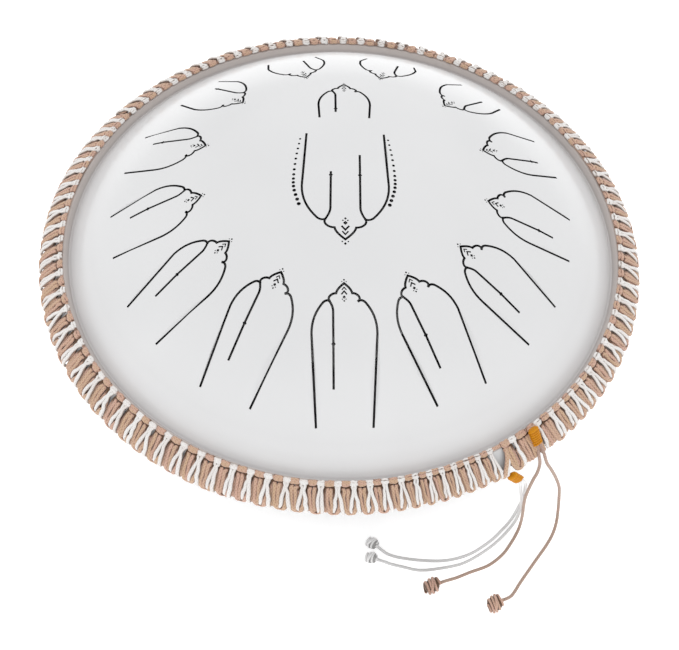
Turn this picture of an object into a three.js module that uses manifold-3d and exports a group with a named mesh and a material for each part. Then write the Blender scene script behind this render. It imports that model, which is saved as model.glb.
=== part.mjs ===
// A laced steel tongue drum: two pressed shells with a bound rim, tongues cut through the upper one,
// and the four knotted ends of the two lacing cords lying on the floor in front.
// Millimetres, +Z up, origin on the floor under the middle of the drum, lowest tongue towards -Y.
import * as THREE from 'three';
import { mergeVertices } from 'three/addons/utils/BufferGeometryUtils.js';
import Module from 'manifold-3d';

const wasm = await Module();
wasm.setup();

// Shells
const sheet = 1.2;
const mouthRadius = 165;
const domeRise = 69.2;
const domeFullness = 0.28;
const bowlDepth = 74;
const bowlFullness = 0.46;
const portRadius = 45;
const portLipRise = 4;
const portLipBend = 2.5;
const flangeWidth = 10;

// Rolled rim of the upper shell: groove, raised ridge and sloping skirt
const grooveBend = 2;
const rimRise = 5.4;
const rimFlare = 2.2;
const ridgeWidth = 3.2;
const ridgeBend = 1.1;
const skirtFlare = 8.2;
const skirtDrop = 3.6;

// Seal, feet and the gap that seated pieces keep
const seatGap = 0.3;
const floorGap = 0.15;
const sealThickness = 1;
const sealInset = 2.5;
const sealOverhang = 2;
const footHeight = 12;
const footCircleRadius = 72;
const footTopRadius = 10;
const footBottomRadius = 8;
const footCount = 4;

// Tongues: thirteen round the dome, a large one in the middle and a small one behind it
const slitWidth = 1.3;
const outerTongues = 13;
const lowTipRadius = 73;
const highTipRadius = 93.4;
const tipPhase = THREE.MathUtils.degToRad(4.6);
const tipEase = 0.85;
const tipSpread = THREE.MathUtils.degToRad(1);
const tipRingY = -0.9;
const lowLength = 68.5;
const highLength = 33;
const lowInnerSlit = 52;
const highInnerSlit = 27.5;
const rootHalfWidth = 15.6;
const tongueTilt = THREE.MathUtils.degToRad(1.1);
const centreTongue = {
  tipPoint: [0.6, -48.4],
  scale: 1.38,
  length: 76.4,
  halfWidth: 22.6,
  slits: { left: 45.3, right: 58.2 },
};
const rearTongue = {
  tipPoint: [0.2, 78.2],
  scale: 0.86,
  length: 34.8,
  halfWidth: 14.7,
  slits: { left: 29.6 },
};

// The ogee tip of a tongue at scale 1: distance behind the tip, then distance from the tongue's axis
const tip = {
  ogeeBulge: [3.3, 4.2],
  cusp: [5.4, 4.35],
  scallopOut: [5.3, 7],
  scallopBack: [7.6, 9.4],
  junction: [9.4, 8.1],
  crest: [8.6, 9.6],
  crestEnd: [10, 11.4],
  shoulderOut: [14.5, 15.6],
  shoulderBack: [19.5, 17.9],
  widest: [26, 17.9],
  slitBend: [12.3, 6.2],
  slitStart: [14.5, 6.1],
  bead: [31.4, 6],
};
const beadHalfLength = 1.5;
const beadHalfWidth = 1.25;

// Lacing: units of one beige and one white stitch of cord drawn flat, left open where the ends are whipped
const cordDiameter = 1.9;
const laidThickness = 1.4;
const coreDiameter = 1.6;
const lowerCoreOverhang = 7.5;
const wrapGap = 0.4;
const coreWrapSpan = THREE.MathUtils.degToRad(90);
const coreWrapMiddle = THREE.MathUtils.degToRad(85);
const lacingUnits = 98;
const lacingOpenUnits = 3;
const lacingOpenMiddle = THREE.MathUtils.degToRad(-55.1);
const valleyDepth = 1;
const stitchWidth = 2.2;
const stitchThickness = 1.2;
const stitchGap = 0.9;
const stitchHalfFoot = 2.9;

// Whippings: thread wound round the two ends of a cord, side by side
const threadDiameter = 0.9;
const threadGap = 0.5;
const tailGap = 0.4;
const tailLead = 0.3;
const whipAzimuth = THREE.MathUtils.degToRad(-52.2);
const beigeWhipTurns = 7;
const beigeWhipTilt = THREE.MathUtils.degToRad(-55);
const beigeWhipLead = 0.3;
const beigeWhipStandoff = 1.5;
const whiteWhipTurns = 5;
const whiteWhipStart = [-15.3, -16.3, -1.1];
const whiteWhipAim = [6.5, 0.6, -7.5];

// Free cord ends. Hanging points are measured from the lip below the beige whipping. Floor points are
// measured from the place under it where a cord lies on the floor, so a lying point has no height.
const beigeLeft = {
  hang: [[0.2, -4.2, 0.9], [1.9, -4.8, -7.6], [1.6, -5.7, -16.6], [0, -7, -22.6], [-2.1, -8.6, -39.6]],
  floor: [[-0.9, -8.7, 13.6], [-0.7, -8.9, 5.6], [-1.6, -11.2, 1.4], [-3.5, -14.7, 0], [-7.6, -21.4, 0],
    [-12, -27.3, 0], [-20.9, -34.6, 0], [-32.3, -39.3, 0], [-40, -42.7, 0.1], [-44.2, -44.7, 1.5],
    [-48, -46.5, 2.8], [-50.1, -47.4, 2.9]],
};
const beigeRight = {
  hang: [[3.2, -2.5, 0.4], [6.1, -3, -9.1], [10.4, -1.8, -19.6], [15.1, 0.3, -32.6]],
  floor: [[19.2, 1.3, 30.6], [21, 1.2, 18.6], [21.7, -1.2, 9.6], [21.2, -6.8, 3], [19.3, -12.4, 0.1],
    [15.2, -19.8, 0], [5.6, -33.2, 0], [-3.9, -46.6, 0], [-6.6, -50.9, 0.1], [-9.4, -54.7, 1.5],
    [-12.5, -56.9, 2.8], [-14.4, -57.7, 2.9]],
};
const whiteUpper = {
  hang: [[-4.2, -7.6, -25.1], [-2, -3.7, -39.6]],
  floor: [[-0.9, -1.6, 22.6], [-2.3, -2, 12.1], [-4.8, -4.4, 3.6], [-7.7, -7.3, 0.1], [-11.7, -11.7, 0],
    [-17.8, -17.9, 0], [-31.8, -27.6, 0], [-46, -31.8, 0], [-62, -31.8, 0], [-76.1, -29.6, 0],
    [-81, -27.7, 0.3], [-83.6, -26.3, 1.4], [-85.2, -25.1, 1.9], [-86, -24.5, 2]],
};
const whiteLower = {
  hang: [[-6.8, -7.7, -27.1], [-4.4, -5.4, -40.6]],
  floor: [[-2.4, -4.1, 23.1], [-2, -4.9, 12.1], [-3.5, -6.9, 3.6], [-6.1, -9.6, 0.1], [-9.8, -14, 0],
    [-16.1, -20.3, 0], [-27.1, -28.6, 0], [-36.7, -33.8, 0], [-50, -37, 0], [-62.2, -38.2, 0],
    [-71.6, -36.2, 0], [-78.5, -34.6, 0.3], [-82.4, -33.7, 1.4], [-85.2, -33, 1.9], [-86.3, -32.7, 2]],
};
const beigeKnot = { radius: 4.3, shoulderRadius: 4, endRadius: 2.7, shoulderHalf: 2.2, halfLength: 4.4 };
const whiteKnot = { radius: 3.4, shoulderRadius: 3.2, endRadius: 2.1, shoulderHalf: 1.8, halfLength: 3.6 };

// Lathe and tube facets
const shellFacets = 52;
const bowlFacets = 40;
const ringFacets = 40;
const coreSides = 5;
const footFacets = 12;
const knotFacets = 10;
const domeRings = 7;
const domeRingBias = 0.8;
const bowlRings = 5;
const shortCurveSteps = 2;
const longCurveSteps = 3;
const rimBendSteps = 1;
const footSeatSteps = 4;
const tubeSides = 8;
const tubeStepLength = 7.4;
const threadSides = 4;
const threadSteps = 8;

// Radii and heights that follow from them
const ridgeInnerRadius = mouthRadius + rimFlare;
const ridgeOuterRadius = ridgeInnerRadius + ridgeWidth;
const lipRadius = ridgeOuterRadius + skirtFlare;
const coreRadius = ridgeInnerRadius + ridgeWidth / 2;
const lowerCoreRadius = mouthRadius + lowerCoreOverhang;
const threadPitch = threadDiameter + threadGap;
const tailRadius = cordDiameter / 2;
const tailSpacing = cordDiameter + tailGap;
const whipThickness = tailRadius + seatGap + threadDiameter;
const bowlCrownZ = footHeight - wallDrop(footCircleRadius, bowlDepth, bowlFullness);
const flangeZ = bowlCrownZ + bowlDepth;
const sealZ = flangeZ + sheet + seatGap;
const grooveZ = sealZ + sealThickness + seatGap + sheet;
const ridgeZ = grooveZ + rimRise;
const lipZ = grooveZ - skirtDrop;
const coreZ = ridgeZ + seatGap + coreDiameter / 2;
const lowerCoreZ = flangeZ - seatGap - coreDiameter / 2;

const drum = new THREE.Group();
drum.name = 'tongue_drum';

// Drop of a shell's wall below its crown at a radius: a square term and a quartic one
function wallDrop(radius, depth, fullness) {
  const t = radius / mouthRadius;
  return depth * ((1 - fullness) * t ** 2 + fullness * t ** 4);
}

// Replace each inner corner of a polyline by a short curve that starts a given distance before it
function roundCorners(points, bends, steps) {
  const out = [points[0]];
  for (let i = 1; i < points.length - 1; i++) {
    const corner = new THREE.Vector2(...points[i]);
    const before = new THREE.Vector2(...points[i - 1]).sub(corner).setLength(bends[i - 1]).add(corner);
    const after = new THREE.Vector2(...points[i + 1]).sub(corner).setLength(bends[i - 1]).add(corner);
    const bend = new THREE.QuadraticBezierCurve(before, corner, after);
    out.push(...bend.getPoints(steps).map((p) => p.toArray()));
  }
  out.push(points.at(-1));
  return out;
}

// Shift a polyline sideways, to the right of its direction, with mitred corners
function offsetRight(points, distance) {
  const turn = points.slice(1).map((p, i) => {
    const along = new THREE.Vector2(p[0] - points[i][0], p[1] - points[i][1]).normalize();
    return new THREE.Vector2(along.y, -along.x);
  });
  return points.map((p, i) => {
    const a = turn[Math.max(i - 1, 0)];
    const b = turn[Math.min(i, turn.length - 1)];
    const mitre = a.clone().add(b).divideScalar(1 + a.dot(b));
    return [p[0] + mitre.x * distance, p[1] + mitre.y * distance];
  });
}

// Merge a geometry's shared points, drop collapsed triangles and turn its faces outwards
function closeBody(geometry) {
  geometry.deleteAttribute('normal');
  geometry.deleteAttribute('uv');
  const merged = mergeVertices(geometry);
  const index = merged.index.array;
  const at = (i) => new THREE.Vector3().fromBufferAttribute(merged.attributes.position, i);
  const kept = [];
  let volume = 0;
  for (let i = 0; i < index.length; i += 3) {
    const [a, b, c] = index.slice(i, i + 3);
    if (a === b || b === c || c === a) continue;
    kept.push([a, b, c]);
    volume += at(a).dot(at(b).cross(at(c)));
  }
  merged.setIndex(kept.flatMap(([a, b, c]) => (volume < 0 ? [a, c, b] : [a, b, c])));
  return merged;
}

// Revolve a closed profile of radius and height about the vertical axis
function revolve(profile, facets) {
  const lathe = new THREE.LatheGeometry(profile.map(([r, z]) => new THREE.Vector2(r, z)), facets);
  lathe.rotateX(Math.PI / 2);
  return closeBody(lathe);
}

// A regular polygon as a closed profile
function circleProfile(radius, z, diameter, sides) {
  const angles = Array.from({ length: sides + 1 }, (_, i) => ((i % sides) + 0.5) / sides * 2 * Math.PI);
  return angles.map((a) => [radius + Math.cos(a) * diameter / 2, z + Math.sin(a) * diameter / 2]);
}

// Skin a list of equal rings of points and close both ends with the triangulated section
function loft(rings, section) {
  const count = rings[0].length;
  const points = rings.flat();
  const index = [];
  for (let i = 0; i < rings.length - 1; i++) {
    for (let j = 0; j < count; j++) {
      const a = i * count + j;
      const b = i * count + (j + 1) % count;
      index.push(a, b, b + count, a, b + count, a + count);
    }
  }
  const last = (rings.length - 1) * count;
  for (const [a, b, c] of THREE.ShapeUtils.triangulateShape(section, [])) {
    index.push(a, c, b, last + a, last + b, last + c);
  }
  const geometry = new THREE.BufferGeometry().setFromPoints(points);
  geometry.setIndex(index);
  return closeBody(geometry);
}

// Sweep a closed section along points whose outward normals are given
function sweep(points, normals, outline) {
  const section = outline.map((p) => new THREE.Vector2(...p));
  const rings = points.map((point, i) => {
    const ahead = points[Math.min(i + 1, points.length - 1)].clone();
    const along = ahead.sub(points[Math.max(i - 1, 0)]).normalize();
    const side = along.clone().cross(normals[i]).normalize();
    const up = side.clone().cross(along);
    return section.map((s) => point.clone().addScaledVector(side, s.x).addScaledVector(up, s.y));
  });
  return loft(rings, section);
}

// Least gap of a tube to itself, between points that are not neighbours along it
function leastGap(points, diameter, skip) {
  let least = Infinity;
  for (let i = 0; i < points.length; i++) {
    for (let j = i + skip; j < points.length; j++) {
      least = Math.min(least, points[i].distanceTo(points[j]));
    }
  }
  return least - diameter;
}

function toSolid(geometry) {
  const vertProperties = new Float32Array(geometry.attributes.position.array);
  const triVerts = new Uint32Array(geometry.index.array);
  return new wasm.Manifold(new wasm.Mesh({ numProp: 3, vertProperties, triVerts }));
}

function toGeometry(solid) {
  const { vertProperties, triVerts } = solid.getMesh();
  const geometry = new THREE.BufferGeometry();
  geometry.setAttribute('position', new THREE.BufferAttribute(vertProperties, 3));
  geometry.setIndex(new THREE.BufferAttribute(triVerts, 1));
  return geometry;
}

function addPiece(name, geometry, material) {
  const mesh = new THREE.Mesh(geometry, material.clone());
  mesh.name = name;
  drum.add(mesh);
}

const whitePaint = new THREE.MeshStandardMaterial({ color: 0xe9e9ea, roughness: 0.32, metalness: 0.1 });
const beigeCord = new THREE.MeshStandardMaterial({ color: 0xc4a084, roughness: 0.85, metalness: 0 });
const whiteCord = new THREE.MeshStandardMaterial({ color: 0xf1f1ee, roughness: 0.8, metalness: 0 });
const amberThread = new THREE.MeshStandardMaterial({ color: 0xe9a40c, roughness: 0.6, metalness: 0 });
const blackRubber = new THREE.MeshStandardMaterial({ color: 0x202022, roughness: 0.9, metalness: 0 });

// Upper shell: the dome, the groove at its foot, the raised ridge and the flared skirt
function upperShellBlank() {
  const reach = mouthRadius - grooveBend;
  const dome = Array.from({ length: domeRings }, (_, i) => {
    const r = reach * (i / domeRings) ** domeRingBias;
    return [r, grooveZ + domeRise - wallDrop(r, domeRise, domeFullness)];
  });
  const last = [reach, grooveZ + domeRise - wallDrop(reach, domeRise, domeFullness)];
  const rim = roundCorners([
    last,
    [mouthRadius, grooveZ],
    [ridgeInnerRadius, ridgeZ],
    [ridgeOuterRadius, ridgeZ],
    [lipRadius, lipZ],
  ], [grooveBend, ridgeBend, ridgeBend], rimBendSteps);
  const outside = [...dome, ...rim];
  const inside = offsetRight(outside, sheet);
  inside[0] = [0, outside[0][1] - sheet];
  return toSolid(revolve([...outside, ...inside.reverse()], shellFacets));
}

// Curves of one side of a tongue's outline, from the tip to the junction and from there to the root
function bezier(steps, ...points) {
  const vectors = points.map(([x, y]) => new THREE.Vector2(x, y));
  const Curve = vectors.length === 3 ? THREE.QuadraticBezierCurve : THREE.CubicBezierCurve;
  return new Curve(...vectors).getPoints(steps).map((p) => p.toArray());
}

function archSide(scale) {
  const ogee = bezier(shortCurveSteps, [0, 0], tip.ogeeBulge, tip.cusp);
  const scallop = bezier(longCurveSteps, tip.cusp, tip.scallopOut, tip.scallopBack, tip.junction);
  return [...ogee, ...scallop.slice(1)].map(([d, w]) => [d * scale, w * scale]);
}

function flankSide(scale, length, halfWidth) {
  const crest = bezier(shortCurveSteps, tip.junction, tip.crest, tip.crestEnd);
  const shoulder = bezier(longCurveSteps, tip.crestEnd, tip.shoulderOut, tip.shoulderBack, tip.widest);
  const flank = [...crest, ...shoulder.slice(1)].map(([d, w]) => [d * scale, w * scale]);
  return [...flank, [length, halfWidth]];
}

function innerSlit(scale, end) {
  const bend = bezier(shortCurveSteps, tip.junction, tip.slitBend, tip.slitStart);
  return [...bend.map(([d, w]) => [d * scale, w * scale]), [end, tip.bead[1] * scale]];
}

// Closed outline of a slit of the named width along a line, with square ends half a width beyond it
function slitOutline(line) {
  const stretch = (from, to) => new THREE.Vector2(...to).sub(new THREE.Vector2(...from))
    .setLength(slitWidth / 2).add(new THREE.Vector2(...to)).toArray();
  const long = [stretch(line[1], line[0]), ...line.slice(1, -1), stretch(line.at(-2), line.at(-1))];
  return [...offsetRight(long, slitWidth / 2), ...offsetRight(long, -slitWidth / 2).reverse()];
}

const mirrored = (line) => line.map(([d, w]) => [d, -w]);

// All the slit outlines of one tongue, as distance behind the tip and distance to the right of the axis
function tongueOutlines({ scale, length, halfWidth, slits }) {
  const arch = archSide(scale);
  const flank = flankSide(scale, length, halfWidth);
  const outlines = [
    slitOutline([...mirrored(arch).reverse(), ...arch.slice(1)]),
    slitOutline(flank),
    slitOutline(mirrored(flank)),
  ];
  const bead = [tip.bead[0] * scale, tip.bead[1] * scale];
  const diamond = [[-beadHalfLength, 0], [0, -beadHalfWidth], [beadHalfLength, 0], [0, beadHalfWidth]];
  for (const [side, end] of Object.entries(slits)) {
    const sign = side === 'left' ? -1 : 1;
    const slit = innerSlit(scale, end).map(([d, w]) => [d, w * sign]);
    outlines.push(slitOutline(slit));
    if (end > bead[0] + beadHalfLength) {
      outlines.push(diamond.map(([d, w]) => [bead[0] + d, bead[1] * sign + w]));
    }
  }
  return outlines;
}

// Upright prisms through the dome for the outlines of a tongue at a tip point and an axis direction
function tongueCutters(tongue, tipPoint, axisAngle) {
  const along = new THREE.Vector2(Math.cos(axisAngle), Math.sin(axisAngle));
  const right = new THREE.Vector2(-along.y, along.x).multiplyScalar(tongue.mirror ?? 1);
  const prismHeight = domeRise + sheet;
  return tongueOutlines(tongue).map((outline) => {
    const place = ([d, w]) => tipPoint.clone().addScaledVector(along, d).addScaledVector(right, w);
    const plan = new THREE.Shape(outline.map(place));
    const prism = new THREE.ExtrudeGeometry(plan, { depth: prismHeight, bevelEnabled: false });
    prism.translate(0, 0, grooveZ);
    return toSolid(closeBody(prism));
  });
}

// Notes climb left and right in turn from the front tongue. The tips move out round the dome from front to
// back, where they stand a little apart from the rear tongue, and the tongues grow shorter by an even step
// from each note to the next.
function outerTongueCutters(k) {
  const pitch = 2 * Math.PI / outerTongues;
  const even = k * pitch - Math.PI / 2;
  const back = (1 - Math.cos(k * pitch + tipPhase)) / 2;
  const angle = even - tipSpread * back * Math.sin(2 * even);
  const tipRadius = lowTipRadius + (highTipRadius - lowTipRadius) * back ** tipEase;
  const rank = k <= outerTongues / 2 ? 2 * k : 2 * (outerTongues - k) - 1;
  const share = rank / (outerTongues - 1);
  const tongue = {
    scale: 1,
    length: lowLength + (highLength - lowLength) * share,
    halfWidth: rootHalfWidth,
    slits: { left: lowInnerSlit + (highInnerSlit - lowInnerSlit) * share },
  };
  const tipPoint = new THREE.Vector2(Math.cos(angle), Math.sin(angle)).multiplyScalar(tipRadius);
  tipPoint.y += tipRingY;
  return tongueCutters(tongue, tipPoint, angle + tongueTilt);
}

function upperShell() {
  const cutters = [];
  for (let k = 0; k < outerTongues; k++) cutters.push(...outerTongueCutters(k));
  const centre = { ...centreTongue, mirror: -1 };
  cutters.push(...tongueCutters(centre, new THREE.Vector2(...centre.tipPoint), Math.PI / 2));
  cutters.push(...tongueCutters(rearTongue, new THREE.Vector2(...rearTongue.tipPoint), -Math.PI / 2));
  return toGeometry(cutters.reduce((shell, cutter) => shell.subtract(cutter), upperShellBlank()));
}

// Outside of the bowl from the port to the mouth, as radius and height
function bowlWall(from) {
  return Array.from({ length: bowlRings + 1 }, (_, i) => {
    const r = from + (mouthRadius - from) * i / bowlRings;
    return [r, bowlCrownZ + wallDrop(r, bowlDepth, bowlFullness)];
  });
}

// Lower shell: the port's turned-in lip, the bowl and the flat flange
function lowerShell() {
  const wall = bowlWall(portRadius + portLipBend);
  const portZ = bowlCrownZ + wallDrop(portRadius, bowlDepth, bowlFullness);
  const outside = [
    [portRadius, portZ + portLipBend + portLipRise],
    [portRadius, portZ + portLipBend],
    ...wall,
    [mouthRadius + flangeWidth, flangeZ],
  ];
  const inside = offsetRight(outside, -sheet).reverse();
  return revolve([...outside, ...inside, outside[0]], bowlFacets);
}

// Rubber foot: a short cone whose top follows the bowl at the seating gap
function foot(index) {
  const angle = (index + 0.5) / footCount * 2 * Math.PI;
  const rise = 2 * footHeight;
  const cone = new THREE.CylinderGeometry(footTopRadius, footBottomRadius, rise, footFacets);
  cone.rotateX(Math.PI / 2);
  cone.translate(Math.cos(angle) * footCircleRadius, Math.sin(angle) * footCircleRadius, rise / 2);
  const inner = footCircleRadius - 2 * footTopRadius;
  const outer = footCircleRadius + 2 * footTopRadius;
  const underside = Array.from({ length: footSeatSteps + 1 }, (_, i) => {
    const r = inner + (outer - inner) * i / footSeatSteps;
    return [r, bowlCrownZ + wallDrop(r, bowlDepth, bowlFullness) - seatGap];
  });
  const top = rise + seatGap;
  const cutter = revolve([...underside, [outer, top], [inner, top], underside[0]], bowlFacets);
  return toGeometry(toSolid(closeBody(cone)).subtract(toSolid(cutter)));
}

// Path that a strand follows: over the upper core, down the skirt, round its lip and under the lower core
function wrapLine() {
  const wrap = coreDiameter / 2 + wrapGap;
  const corner = wrap / Math.cos(coreWrapSpan / 2);
  const onCore = (angle) => [coreRadius + corner * Math.cos(angle), coreZ + corner * Math.sin(angle)];
  const down = new THREE.Vector2(skirtFlare, lipZ - ridgeZ).normalize();
  const out = new THREE.Vector2(-down.y, down.x);
  const lip = new THREE.Vector2(lipRadius, lipZ).addScaledVector(down, wrapGap);
  return [
    onCore(coreWrapMiddle + coreWrapSpan / 2),
    onCore(coreWrapMiddle - coreWrapSpan / 2),
    lip.clone().addScaledVector(out, wrapGap).toArray(),
    lip.clone().addScaledVector(out, -sheet - wrapGap).toArray(),
    [lowerCoreRadius, lowerCoreZ - wrap],
  ];
}

const lacingPitch = 2 * Math.PI / lacingUnits;
const lacingStart = lacingOpenMiddle + lacingPitch * lacingOpenUnits / 2;
const stitchedUnits = lacingUnits - lacingOpenUnits;
const around = (angle, [r, z]) => new THREE.Vector3(r * Math.cos(angle), r * Math.sin(angle), z);

// Beige lacing: a layer one cord thick round the rim, drawn in between its stitches
function beigeLacing() {
  const inner = wrapLine();
  const sectionAt = (thickness) => [...inner, ...offsetRight(inner, -thickness).reverse()];
  const crest = sectionAt(laidThickness);
  const valley = sectionAt(laidThickness - valleyDepth);
  const rings = [];
  for (let i = 0; i <= 2 * stitchedUnits; i++) {
    const angle = lacingStart + i * lacingPitch / 2;
    rings.push((i % 2 ? crest : valley).map((point) => around(angle, point)));
  }
  return loft(rings, valley.map((p) => new THREE.Vector2(...p)));
}

// White lacing: one unbroken cord that runs up and down the rim. Its tops lie in the hollows of the beige
// layer, and between its feet it passes under the layer's lower edge.
function whiteLacing() {
  const inner = wrapLine();
  const stitchHalfTop = (stitchWidth + stitchGap) / 2;
  const halfPitch = lacingPitch * lipRadius / 2;
  const clear = stitchThickness / 2 + wrapGap;
  const bed = laidThickness - valleyDepth * (1 - stitchHalfTop / halfPitch);
  const lift = bed + clear / Math.cos(Math.atan(valleyDepth / halfPitch));
  const top = offsetRight(inner, -lift)[1];
  const edge = new THREE.Vector2(...offsetRight(inner, -laidThickness)[2]);
  const outward = edge.clone().sub(new THREE.Vector2(...inner[2])).normalize();
  const low = edge.addScaledVector(outward, clear).toArray();
  const points = [];
  for (let i = 1; i < stitchedUnits; i++) {
    const angle = lacingStart + i * lacingPitch;
    points.push(around(angle - stitchHalfFoot / low[0], low));
    points.push(around(angle - stitchHalfTop / top[0], top));
    points.push(around(angle + stitchHalfTop / top[0], top));
    points.push(around(angle + stitchHalfFoot / low[0], low));
  }
  console.log(`white_lacing least gap to itself ${leastGap(points, stitchWidth, 1).toFixed(2)} mm`);
  const normals = points.map((p) => new THREE.Vector3(p.x, p.y, p.length()).normalize());
  const [across, through] = [stitchWidth / 2, stitchThickness / 2];
  const band = [[-across, -through], [across, -through], [across, through], [-across, through]];
  return sweep(points, normals, band);
}

// The lip at the beige whipping, and the middle of a cord that lies on the floor under it
const floorRoot = around(whipAzimuth, [lipRadius, tailRadius + floorGap]);
const lipRoot = around(whipAzimuth, [lipRadius, lipZ]);

// Starts, axes and widths of the two windings
function beigeWhip() {
  const lift = coreDiameter / 2 + beigeWhipStandoff + whipThickness;
  const out = new THREE.Vector2(-Math.sin(beigeWhipTilt), Math.cos(beigeWhipTilt));
  const along = new THREE.Vector2(Math.cos(beigeWhipTilt), Math.sin(beigeWhipTilt));
  const start = new THREE.Vector2(coreRadius, coreZ).addScaledVector(out, lift);
  start.addScaledVector(along, -beigeWhipLead);
  const aim = around(whipAzimuth, [along.x, along.y]);
  const wide = new THREE.Vector3(-Math.sin(whipAzimuth), Math.cos(whipAzimuth), 0);
  return { start: around(whipAzimuth, start.toArray()), axis: aim.normalize(), wide, turns: beigeWhipTurns };
}

function whiteWhip() {
  const start = new THREE.Vector3(...whiteWhipStart).add(lipRoot);
  const axis = new THREE.Vector3(...whiteWhipAim).normalize();
  const wide = new THREE.Vector3(0, 0, 1).addScaledVector(axis, -axis.z).normalize();
  return { start, axis, wide, turns: whiteWhipTurns };
}

// Whipping: one unbroken thread wound round two cords side by side
function whipping(name, { start, axis, wide, turns }) {
  const thick = axis.clone().cross(wide);
  const steps = threadSteps;
  const reach = (whipThickness - threadDiameter / 2) / Math.cos(Math.PI / steps);
  const points = [];
  const normals = [];
  for (let i = 0; i <= turns * steps; i++) {
    const turn = i / steps * 2 * Math.PI;
    const out = wide.clone().multiplyScalar(Math.cos(turn) * (reach + tailSpacing / 2));
    out.addScaledVector(thick, Math.sin(turn) * reach);
    points.push(start.clone().addScaledVector(axis, i / steps * threadPitch).add(out));
    normals.push(out.normalize());
  }
  console.log(`${name} least gap to itself ${leastGap(points, threadDiameter, steps / 2).toFixed(2)} mm`);
  return sweep(points, normals, circleProfile(0, 0, threadDiameter, threadSides).slice(1));
}

// Route of a cord end: straight through its whipping on one side, then down, and along the floor
function tailRoute({ start, axis, wide, turns }, side, { hang, floor }) {
  const entry = start.clone().addScaledVector(wide, side * tailSpacing / 2);
  entry.addScaledVector(axis, -tailLead);
  const length = tailLead + (turns + 1) * threadPitch;
  const through = [0, 0.5, 1].map((share) => entry.clone().addScaledVector(axis, share * length));
  const hanging = hang.map((p) => new THREE.Vector3(...p).add(lipRoot));
  const lying = floor.map((p) => new THREE.Vector3(...p).add(floorRoot));
  return [...through, ...hanging, ...lying];
}

function tail(name, route) {
  const curve = new THREE.CatmullRomCurve3(route);
  const length = curve.getLength();
  const ring = circleProfile(0, 0, cordDiameter, tubeSides).slice(0, tubeSides);
  const section = new THREE.Shape(ring.map((p) => new THREE.Vector2(...p)));
  const steps = Math.round(length / tubeStepLength);
  console.log(`${name} length ${length.toFixed(1)} mm`);
  return closeBody(new THREE.ExtrudeGeometry(section, { steps, extrudePath: curve, bevelEnabled: false }));
}

// End knot: a barrel with drawn-in ends, lying on the floor one seating gap beyond the end of its cord
function knot(route, { radius, shoulderRadius, endRadius, shoulderHalf, halfLength }) {
  const along = route.at(-1).clone().sub(route.at(-2)).setZ(0).normalize();
  const half = [[radius, 0], [shoulderRadius, shoulderHalf], [endRadius, halfLength], [0, halfLength]];
  const outline = [...half.slice(1).reverse().map(([r, h]) => [r, -h]), ...half];
  const barrel = revolve(outline, knotFacets);
  barrel.rotateX(Math.PI / 2);
  barrel.rotateZ(Math.atan2(along.y, along.x) + Math.PI / 2);
  const centre = route.at(-1).clone().addScaledVector(along, seatGap + halfLength);
  barrel.translate(centre.x, centre.y, radius);
  return barrel;
}

addPiece('upper_shell', upperShell(), whitePaint);
addPiece('lower_shell', lowerShell(), whitePaint);
const ringCord = (radius, z) => revolve(circleProfile(radius, z, coreDiameter, coreSides), ringFacets);
const sealSection = [
  [mouthRadius - sealInset, sealZ],
  [mouthRadius + sealOverhang, sealZ],
  [mouthRadius + sealOverhang, sealZ + sealThickness],
  [mouthRadius - sealInset, sealZ + sealThickness],
  [mouthRadius - sealInset, sealZ],
];
addPiece('flange_seal', revolve(sealSection, ringFacets), blackRubber);
addPiece('upper_core_cord', ringCord(coreRadius, coreZ), beigeCord);
addPiece('lower_core_cord', ringCord(lowerCoreRadius, lowerCoreZ), beigeCord);
addPiece('beige_lacing', beigeLacing(), beigeCord);
addPiece('white_lacing', whiteLacing(), whiteCord);
const beigeWinding = beigeWhip();
const whiteWinding = whiteWhip();
addPiece('beige_whipping', whipping('beige_whipping', beigeWinding), amberThread);
addPiece('white_whipping', whipping('white_whipping', whiteWinding), amberThread);
const tails = {
  beige_left: [tailRoute(beigeWinding, -1, beigeLeft), beigeKnot, beigeCord],
  beige_right: [tailRoute(beigeWinding, 1, beigeRight), beigeKnot, beigeCord],
  white_upper: [tailRoute(whiteWinding, 1, whiteUpper), whiteKnot, whiteCord],
  white_lower: [tailRoute(whiteWinding, -1, whiteLower), whiteKnot, whiteCord],
};
for (const [name, [route, knotSize, material]] of Object.entries(tails)) {
  const [colour, place] = name.split('_');
  addPiece(`${colour}_tail_${place}`, tail(`${colour}_tail_${place}`, route), material);
  addPiece(`${colour}_knot_${place}`, knot(route, knotSize), material);
}
for (let i = 0; i < footCount; i++) addPiece(`foot_${i + 1}`, foot(i), blackRubber);

export default drum;
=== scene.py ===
import math
import bpy
import numpy as np
from mathutils import Matrix
from mathutils.geometry import delaunay_2d_cdt


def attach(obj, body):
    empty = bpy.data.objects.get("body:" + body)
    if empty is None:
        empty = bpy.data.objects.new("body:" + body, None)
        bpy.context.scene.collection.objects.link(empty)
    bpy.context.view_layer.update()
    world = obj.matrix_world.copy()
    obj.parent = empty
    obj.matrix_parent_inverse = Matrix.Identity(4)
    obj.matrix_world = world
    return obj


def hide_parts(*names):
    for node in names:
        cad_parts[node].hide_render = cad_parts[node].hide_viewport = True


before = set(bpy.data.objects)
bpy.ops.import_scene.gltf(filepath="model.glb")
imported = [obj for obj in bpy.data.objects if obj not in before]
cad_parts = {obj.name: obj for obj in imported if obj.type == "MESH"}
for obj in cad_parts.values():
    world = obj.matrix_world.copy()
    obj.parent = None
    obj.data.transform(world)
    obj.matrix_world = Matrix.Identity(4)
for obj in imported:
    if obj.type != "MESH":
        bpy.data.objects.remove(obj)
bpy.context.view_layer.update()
scene = bpy.context.scene
print("frame loaded with", len(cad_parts), "nodes")

mm = 0.001  # in metres
fullTurn = 2 * math.pi
upwards = np.array([0, 0, 1.0])

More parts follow.
